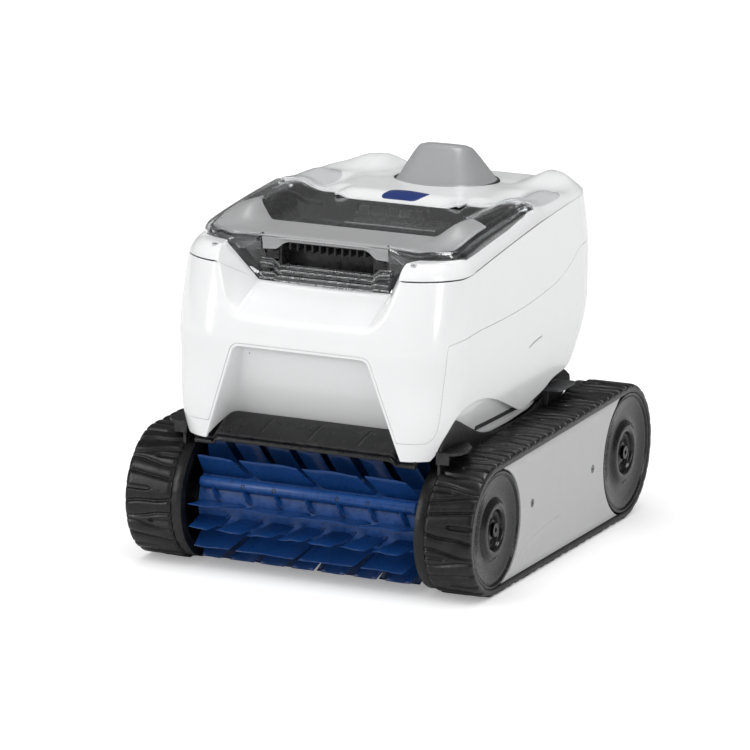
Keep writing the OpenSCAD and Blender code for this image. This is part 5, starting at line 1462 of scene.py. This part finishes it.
def lid_comb():
    """Black parts behind the drop: the handle's comb between two bars, its side pockets and the seal."""
    teeth = [((x - 1.0, -157.0, 285.8 - 1.6 * math.sin(PI * i / 10)), (x + 1.0, -141.0, 293.6), 0.7)
             for i, x in enumerate(np.linspace(-35.5, 35.5, 11))]
    sides = []
    for s in (-1, 1):
        for (x0, y0, z0), (x1, y1, z1), r in (((45.5, -157.5, 276.5), (58, -151, 285.6), 1.0),
                                              ((45.5, -158.6, 279.5), (58, -156, 280.7), 0.4),
                                              ((43.5, -156.5, 270.5), (45.8, -135, 292.5), 0.8)):
            low, high = sorted((s * x0, s * x1))
            sides.append(((low, y0, z0), (high, y1, z1), r))
    bar = ((-46, -158.0, 291.8), (46, -138, 294.6), 1.0)
    seal = (((-45, -138.0, 268.0), (45, -136.4, 292.0), 0.5),
            ((-45, -154.0, 267.0), (45, -136.4, 268.8), 0.5))
    return boxes(*teeth, bar, *sides, *seal)


def lid_boss(side, x=98.0, y=-81.0):
    """A low round boss where an arm meets the bar."""
    profile = [(0.0, 2.3), (1.6, 2.2), (2.9, 1.6), (3.5, 0.7), (3.7, -0.6), (4.6, -1.0), (4.8, -2.0)]
    z = float(lid_top(x, y))
    verts = [[side * x + r * math.cos(t), y + r * 1.15 * math.sin(t), z + h]
             for r, h in profile for t in np.arange(24) * 2 * PI / 24]
    return np.array(verts), turned(grid_faces(len(profile), 24, close_cols=True))


piece("window_well", window_well(), WELL)
piece("filter_box", boxes(((-27, -62.0, 289.5), (60, -18.0, 294.0), 1.6),
                          ((-22, -58.0, 283.0), (55, -20.0, 290.0), 1.2)), WELL)
piece("filter_trim", boxes(((-27.4, -62.6, 293.2), (60.4, -61.6, 294.3), 0.4),
                           ((-88, -96.0, 283.0), (88, -94.6, 284.4), 0.5)), LID_GREY)
latch_ribs = [((x - 0.7, -27.0, 294.5), (x + 0.7, -14.0, 303.4), 0.5) for x in (-32, -18, -4, 10, 22, 33)]
piece("latch_housing", boxes(((-32, -27.0, 296.0), (34, -25.2, 303.0), 0.6), *latch_ribs), CLEAR, "lid")
piece("lid_comb", lid_comb(), BLACK, "lid", stands_for=("lid_handle_comb",))
piece("lid_bosses", [lid_boss(side) for side in (-1, 1)], SMOKE, "lid")


# ---------------- badge and fixed clear shoulders

BADGE = [(0, -3), (-17.5, -3), (-21.5, 4), (-17, 17), (0, 17), (21.5, 17), (20.5, 11), (13.5, -3)]
SHOULDER_FRONT = smooth_line([(88, 4), (110, 3.6), (124.2, 4.0)], 3)
SHOULDER_REST = smooth_line([(125.2, 8), (125.6, 40), (124.6, 66), (121, 76), (113, 82.5), (104, 84),
                             (95, 80), (89.5, 68), (87, 40), (87, 8)], 5)


def badge_top(x, y):
    return cover_top(x, y) + 1.3 - 0.003 * x * x


def shoulder_top(x, y):
    """The clear shoulder's skin over the cover: rounded at the outside and fading out to the back."""
    u = np.clip((126.2 - np.abs(x)) / 12.0, 0, 1)
    return cover_top(x, y) + 0.5 + np.sqrt(u * (2 - u)) * ease((np.abs(x) - 86) / 10.0) * ease((90 - y) / 30)


badge = panel(height_surface(badge_top), [lipped(rounded_corners(BADGE, 4.5, 5))],
              hex_fill((-25, -8), (25, 22), 3.0), 1.25, lip=0.55, step=1.2)
piece("badge", badge, BLUE, stands_for=("badge_plate",))
shoulders = panels(height_surface(shoulder_top), [closed_loop([*SHOULDER_FRONT, *SHOULDER_REST], 2.5)],
                   hex_fill((84, 0), (130, 90), 3.6), 1.8, lip=0.6, step=2.2)
piece("clear_shoulders", shoulders, SHOULDER)


# ---------------- brush plate

HOOD_HALF, LIP_DEG, LIP_R = 105.0, 54.6, 2.1
SLASHES = [(-92.5, -88.5), (-44.5, -40.7), (2.0, 6.3), (48.5, 52.7), (94.0, 98.0)]


def hood_point(x, deg, r):
    """A point of the plate; it tucks in behind the feet at both ends."""
    a = np.radians(deg)
    r = r - 6.0 * ease((np.abs(x) - 82.5) / 5.0) * ease((84.0 - np.asarray(deg, float)) / 20.0)
    return np.stack(np.broadcast_arrays(x, FRONT_Y - r * np.cos(a), FRONT_Z + r * np.sin(a)), -1)


def brush_plate():
    """The curved plate over the brush, with slanted slashes, a rolled lip in front and an end each side."""
    degs = np.concatenate([np.arange(55.6, 98.0, 1.0), np.arange(99.0, 142.0, 4.0)])
    xs = np.concatenate([[-HOOD_HALF], np.arange(-103.5, 104, 1.5), [HOOD_HALF]])
    deg, x = np.meshgrid(degs, xs, indexing="ij")
    r = np.full(x.shape, PLATE_R)
    for low, high in SLASHES:
        across = (x - mix(low, high, (deg - 56) / 19)) / 1.1
        along = ease((deg - 58.5) / 2.5) * ease((76.5 - deg) / 3.0)
        r += (0.5 * bump(across, 1.7, 0.8) - 1.1 * bump(across, 0, 1)) * along
    parts = [sheet(hood_point(x, deg, r), 1.8, flip=True)]
    line = np.linspace(-HOOD_HALF, HOOD_HALF, 60)
    rows = []
    for q in np.arange(17) * PI / 8:
        deg = LIP_DEG + 1.3 * math.degrees(LIP_R * math.sin(q) / PLATE_R)
        rows.append(hood_point(line, deg, PLATE_R - 2.6 + LIP_R * math.cos(q)))
    parts.append(grid_mesh(rows))
    for side in (-1, 1):
        rows = [hood_point(side * (HOOD_HALF - 0.1), degs, PLATE_R + rise) for rise in (0.2, -4.0)]
        parts.append(sheet(rows, 2.0, flip=side > 0))
    return parts


piece("brush_plate", brush_plate(), HOOD, stands_for=("front_hood",))


# ---------------- deck, guards and tub

DECK_X, DECK_Z, DECK_FRONT, DECK_BACK = TRACK_IN - 1.2, 135.0, -91.5, 169
DECK_LINE = [(0, DECK_FRONT), (104, DECK_FRONT), (104, -100), (DECK_X, -100), (DECK_X, 118), (113, 134),
             (103, 149), (90, 160), (74, 167), (0, DECK_BACK)]
DECK_SLOT = [(0, -57), (71.2, -57), (71.2, -88.8), (0, -88.8)]
PUMP_HOLE_R = 39.6
GUARD_X = TRACK_IN - 2
GUARD_FRONT = [(GUARD_X, -186), (134, -184), (139, -178), (141, -165), (138, -150), (128, -136),
               (GUARD_X, -134)]
GUARD_REAR = [(GUARD_X, 46), (137, 48.5), (139, 52), (138.5, 84), (136, 88.5), (GUARD_X, 90)]
SHROUD = smooth_line([(-184, 118), (-180, 131), (-175, 144), (-168, 150.5), (-156, 151.5), (-143, 147.6),
                      (-128, 141), (-114, 135), (-101.6, 130), (-91.4, 126.8), (-78, 124.2), (-60, 122.4),
                      (-39, 121.8), (-15, 122.2), (6, 123), (27.7, 125.2), (42, 130), (52, 135.6), (62, 140),
                      (74, 142), (84, 139), (93, 131)], 3)
TUB_HALF, TUB_FRONT, TUB_BACK, TUB_R, TUB_LOW, TUB_HIGH = TRACK_IN - 16, -92.0, 187.5, 58.0, 14.0, 131.0
BEARING = [(8, 15), (13.5, 8), (15, 0), (13.5, -8), (8, -15)]
CHEEK = [(-64, 24), (-64, 116), (-90, 116), (-122, 84), (-136, 76)]
CHEEK += [(FRONT_Y - y, FRONT_Z + z) for y, z in BEARING] + [(-130, 38), (-92, 24)]
CHEEK_X = 110.4


def flat_plate(points, z, t):
    """A flat guard plate with rounded edges, on both sides."""
    cut = closed_loop(points, 2.5)
    fill = hex_fill(cut[0].min(0), cut[0].max(0), 4.0)
    return panels(height_surface(lambda x, y: z), [cut], fill, t)


def guard_face(y, x, heights):
    """The upright face of a guard."""
    return sheets([[(at, y, z) for at in np.linspace(GUARD_X, x, 5)] for z in heights], 1.6)


def shroud_wall(x=TRACK_IN - 0.8, low=106.0):
    """An upright wall beside the belt, its top edge following the shroud's line."""
    y, z = resample(SHROUD, 2.5).T
    return sheets([np.stack([0 * y + x - (0.5 if k == 0 else 0), y, mix(z, low, k)], -1)
                   for k in (0.0, 0.04, 0.3, 0.65, 1.0)], 2.4)


def deck():
    hole = [(PUMP_HOLE_R * math.sin(a), PUMP_Y + PUMP_HOLE_R * math.cos(a)) for a in np.linspace(0, PI, 30)]
    cut = loop_from([DECK_LINE, hole, DECK_SLOT], 4.0)
    fill = hex_fill((0, -180), (130, 180), 9.0)
    top = panels(height_surface(lambda x, y: DECK_Z), [cut], fill, 4.0, lip=0.8, step=5.0)
    return [top, shroud_wall(), flat_plate(GUARD_FRONT, 129.5, 2.4),
            guard_face(-183.5, 131, (128.5, 124.0, 119.0)), guard_face(49.0, 127, (138.5, 128.5, 124.5))]


def tub():
    """The chassis: a tub with rounded rear corners, a rear wall over it and a cheek beside each brush end."""
    side = TUB_HALF - 4
    line = [(0, TUB_FRONT), (side, TUB_FRONT)]
    line += [(side + 4 * math.sin(a), TUB_FRONT + 4 - 4 * math.cos(a)) for a in np.linspace(0.2, PI / 2, 6)]
    line += [(TUB_HALF - TUB_R * (1 - math.cos(a)), TUB_BACK - TUB_R * (1 - math.sin(a)))
             for a in np.linspace(0, PI / 2, 26)]
    line = resample([*line, (0, TUB_BACK)], 5.0)
    run = unit(np.gradient(line, axis=0))
    inward = np.stack([-run[:, 1], run[:, 0]], -1)

    def level(z, inset, rear=False):
        p = line + inward * inset
        p[0, 0] = p[-1, 0] = 0.0
        p = p[line[:, 1] > 60] if rear else p
        return np.column_stack([p, np.full(len(p), z)])

    walls = [level(TUB_HIGH, 0.6), level(TUB_HIGH - 0.6, 0), level(70, 0), level(TUB_LOW + 4, 0),
             level(TUB_LOW + 1.2, 1.2), level(TUB_LOW, 4.0)]
    rear_wall = [level(170, 8.0, rear=True), level(150, 7.0, rear=True), level(TUB_HIGH, 5.0, rear=True)]
    duct_low, duct_high = box_mm("suction_duct")
    x, y0, y1 = duct_high[0] + 0.2, duct_low[1] - 0.2, duct_high[1] + 0.2
    floor_line = level(0, 3.0)[:, :2]
    cut = loop_from([floor_line, [(0, y1), (x, y1), (x, y0)], [(x, y0), (0, y0)]], 5.0, bare=(0, 2))
    fill = hex_fill((0, -95), (110, 190), 12.0)
    bottom = panels(height_surface(lambda x, y: TUB_LOW + 3.0), [cut], fill, 3.0, lip=0.5, step=6.0)
    cheek = closed_loop(CHEEK, 4.0)
    upright = surface_of(lambda y, z: np.stack([0 * y + CHEEK_X, y, z], -1))
    fill = hex_fill(cheek[0].min(0), cheek[0].max(0), 8.0)
    return [sheets(walls, 3.0, flip=True), sheets(rear_wall, 2.0, flip=True), bottom,
            panels(upright, [cheek], fill, step=4.0)]


piece("rear_guards", flat_plate(GUARD_REAR, 140.2, 2.8), DARK)
piece("tub", tub(), CHASSIS, stands_for=("chassis_tub",))
piece("deck", deck(), CHASSIS, stands_for=("chassis_deck",))


# ---------------- side slits and inner arches

FENDER = smooth_line([(-160, 132), (-140, 128.5), (-115, 126), (-97, 124.6), (-60, 123), (-20, 123.5),
                      (5, 125), (34, 127.5), (44, 136), (50, 152)], 6)
FENDER_TOP, FENDER_OUT, FENDER_IN = 170.0, 123.4, 115.5


def inner_arch():
    """A rounded wall between the body's wall and the deck, narrower in front and turned in below."""
    y, z = FENDER.T
    narrow = 9.0 * np.clip((-112 - y) / 46.0, 0, 1) ** 2
    rows = []
    for t in np.linspace(0, 1, 16):
        x = mix(FENDER_OUT, FENDER_IN, ease((t - 0.15) / 0.85) ** 1.4)
        rows.append(np.stack([x - narrow, y, mix(FENDER_TOP, z, t)], -1))
    for inset, drop in ((0.3, 0.5), (1.2, 1.2), (3.0, 1.4)):
        rows.append(np.stack([FENDER_IN - narrow - inset, y, z - drop], -1))
    return sheets(rows, 1.6)


def painted_slit_shade():
    """A grey strip on each side wall where a slit's shaded inside shows, widest towards the back: painted
    shade.
    """
    t = np.linspace(0, 1, 24)
    width = 0.75 * np.sqrt(np.sin(PI * t) + 1e-6) * (0.4 + 0.6 * t)
    rows = []
    for share, proud in ((1, -0.2), (0.33, 0.12), (-0.33, 0.12), (-1, -0.2)):
        z = mix(190.4, 195.8, t) + 0.8 * np.sin(PI * t) + share * width
        rows.append(wall(*on_side(np.stack([mix(-17.0, 12.0, t), z], -1)).T) + [proud, 0, 0])
    return sheets(rows, 0.3)


# Grey strips stand for the slits' shaded insides: painted shade.
piece("side_slit_shade_strips", painted_slit_shade(), GREY)
piece("skirt_moulding", skirt_parts + [inner_arch()], WHITE,
      stands_for=("front_bezel", "skirt_left", "skirt_right"))


# ---------------- light

SKY, SKY_GLOSS, THROUGH_GLASS = 0.55, 0.16, 0.6
# Each sun's bearing and height in degrees, strength and spread; each box's place, size and power
SUNS = {"top_sun": (20, 80, 1.0, 60), "key_sun": (-35, 42, 0.85, 50), "fill_sun": (62, 30, 0.5, 60)}
BOXES = {"soft_box_left": ((-1.3, -1.7, 0.9), (0.35, 1.3), 14),
         "soft_box_top": ((0.3, 0.3, 2.0), (1.5, 0.5), 22),
         "soft_box_right": ((1.9, -0.9, 1.0), (0.3, 1.4), 14)}
LIT = Vector((0, 0, 0.1))


def place(name, data):
    obj = bpy.data.objects.new(name, data)
    bpy.context.scene.collection.objects.link(obj)
    return obj


def towards(yaw, pitch):
    """The direction from the object at a yaw and a pitch in degrees, counted from the front."""
    a, e = math.radians(yaw), math.radians(pitch)
    return Vector((math.sin(a) * math.cos(e), -math.cos(a) * math.cos(e), math.sin(e)))


def soft_box(name, at, size, power):
    """A box that shows only in reflections."""
    lamp = bpy.data.lights.new(name, "AREA")
    lamp.shape, lamp.energy = "RECTANGLE", power
    lamp.size, lamp.size_y = size
    obj = place(name, lamp)
    obj.location = at
    obj.rotation_euler = (LIT - obj.location).to_track_quat("-Z", "Y").to_euler()
    obj.visible_diffuse = obj.visible_camera = False


def sun(name, yaw, pitch, power, spread):
    """A wide sun that stays out of reflections."""
    lamp = bpy.data.lights.new(name, "SUN")
    lamp.energy, lamp.angle = power, math.radians(spread)
    obj = place(name, lamp)
    obj.rotation_euler = (-towards(yaw, pitch)).to_track_quat("-Z", "Y").to_euler()
    obj.visible_glossy = False


def backdrop():
    """A white world for the camera, a soft sky for matt surfaces and a dim one for reflections."""
    world = bpy.data.worlds.new("backdrop")
    bpy.context.scene.world = world
    world.use_nodes = True
    tree = world.node_tree
    tree.nodes.clear()
    out, path, dim, through, soft, white, mixer = (tree.nodes.new("ShaderNode" + kind) for kind in (
        "OutputWorld", "LightPath", "MapRange", "Math", "Background", "Background", "MixShader"))
    for node in (soft, white):
        node.inputs["Color"].default_value = (1, 1, 1, 1)
    dim.inputs["To Min"].default_value, dim.inputs["To Max"].default_value = SKY, SKY_GLOSS
    through.operation = "MULTIPLY_ADD"
    through.inputs[1].default_value = THROUGH_GLASS
    white.inputs["Strength"].default_value = 1.0
    wires = ((path.outputs["Is Transmission Ray"], through.inputs[0]),
             (path.outputs["Is Glossy Ray"], through.inputs[2]), (through.outputs[0], dim.inputs["Value"]),
             (dim.outputs["Result"], soft.inputs["Strength"]),
             (path.outputs["Is Camera Ray"], mixer.inputs[0]),
             (soft.outputs[0], mixer.inputs[1]), (white.outputs[0], mixer.inputs[2]),
             (mixer.outputs[0], out.inputs["Surface"]))
    for source, plug in wires:
        tree.links.new(source, plug)


backdrop()
for name, values in SUNS.items():
    sun(name, *values)
for name, values in BOXES.items():
    soft_box(name, *values)


# ---------------- floor and camera

FLOOR = 6.0
YAW, PITCH, ROLL = 23.96, 12.73, math.radians(1.25)
AIM, AWAY = Vector((-0.0211, -0.002, 0.1456)), 4.497


def pale_floor():
    """A pale matt floor that the camera sees a little brighter than its light makes it."""
    t = Tree("pale_floor")
    matt, glow, both = (t.node("ShaderNode" + kind) for kind in ("BsdfDiffuse", "Emission", "AddShader"))
    t.link(t.blend(t.noise(400.0, 2.0, 0.5), (0.84, 0.84, 0.84), (0.86, 0.86, 0.86)), matt.inputs["Color"])
    seen = t.node("ShaderNodeLightPath").outputs["Is Camera Ray"]
    t.link(t.math("MULTIPLY", seen, 0.3), glow.inputs["Strength"])
    t.link(matt.outputs[0], both.inputs[0])
    t.link(glow.outputs[0], both.inputs[1])
    t.link(both.outputs[0], t.out.inputs["Surface"])
    return t.mat


floor_mesh = bpy.data.meshes.new("floor")
floor_corners = [(-FLOOR, -FLOOR, 0), (FLOOR, -FLOOR, 0), (FLOOR, FLOOR, 0), (-FLOOR, FLOOR, 0)]
floor_mesh.from_pydata(floor_corners, [], [(0, 1, 2, 3)])
floor_mesh.materials.append(pale_floor())
floor = place("floor", floor_mesh)

back = towards(YAW, PITCH)
right = (-back).cross(Vector((0, 0, 1))).normalized()
up = right.cross(-back)
tilted, upright = right * math.cos(ROLL) + up * math.sin(ROLL), up * math.cos(ROLL) - right * math.sin(ROLL)
lens = bpy.data.cameras.new("camera")
lens.lens, lens.sensor_width, lens.clip_end = 240.0, 36.0, 50.0
camera = place("camera", lens)
camera.matrix_world = Matrix((tilted, upright, back)).transposed().to_4x4()
camera.location = AIM + back * AWAY
bpy.context.scene.camera = camera
bpy.context.scene.view_settings.view_transform = "Standard"
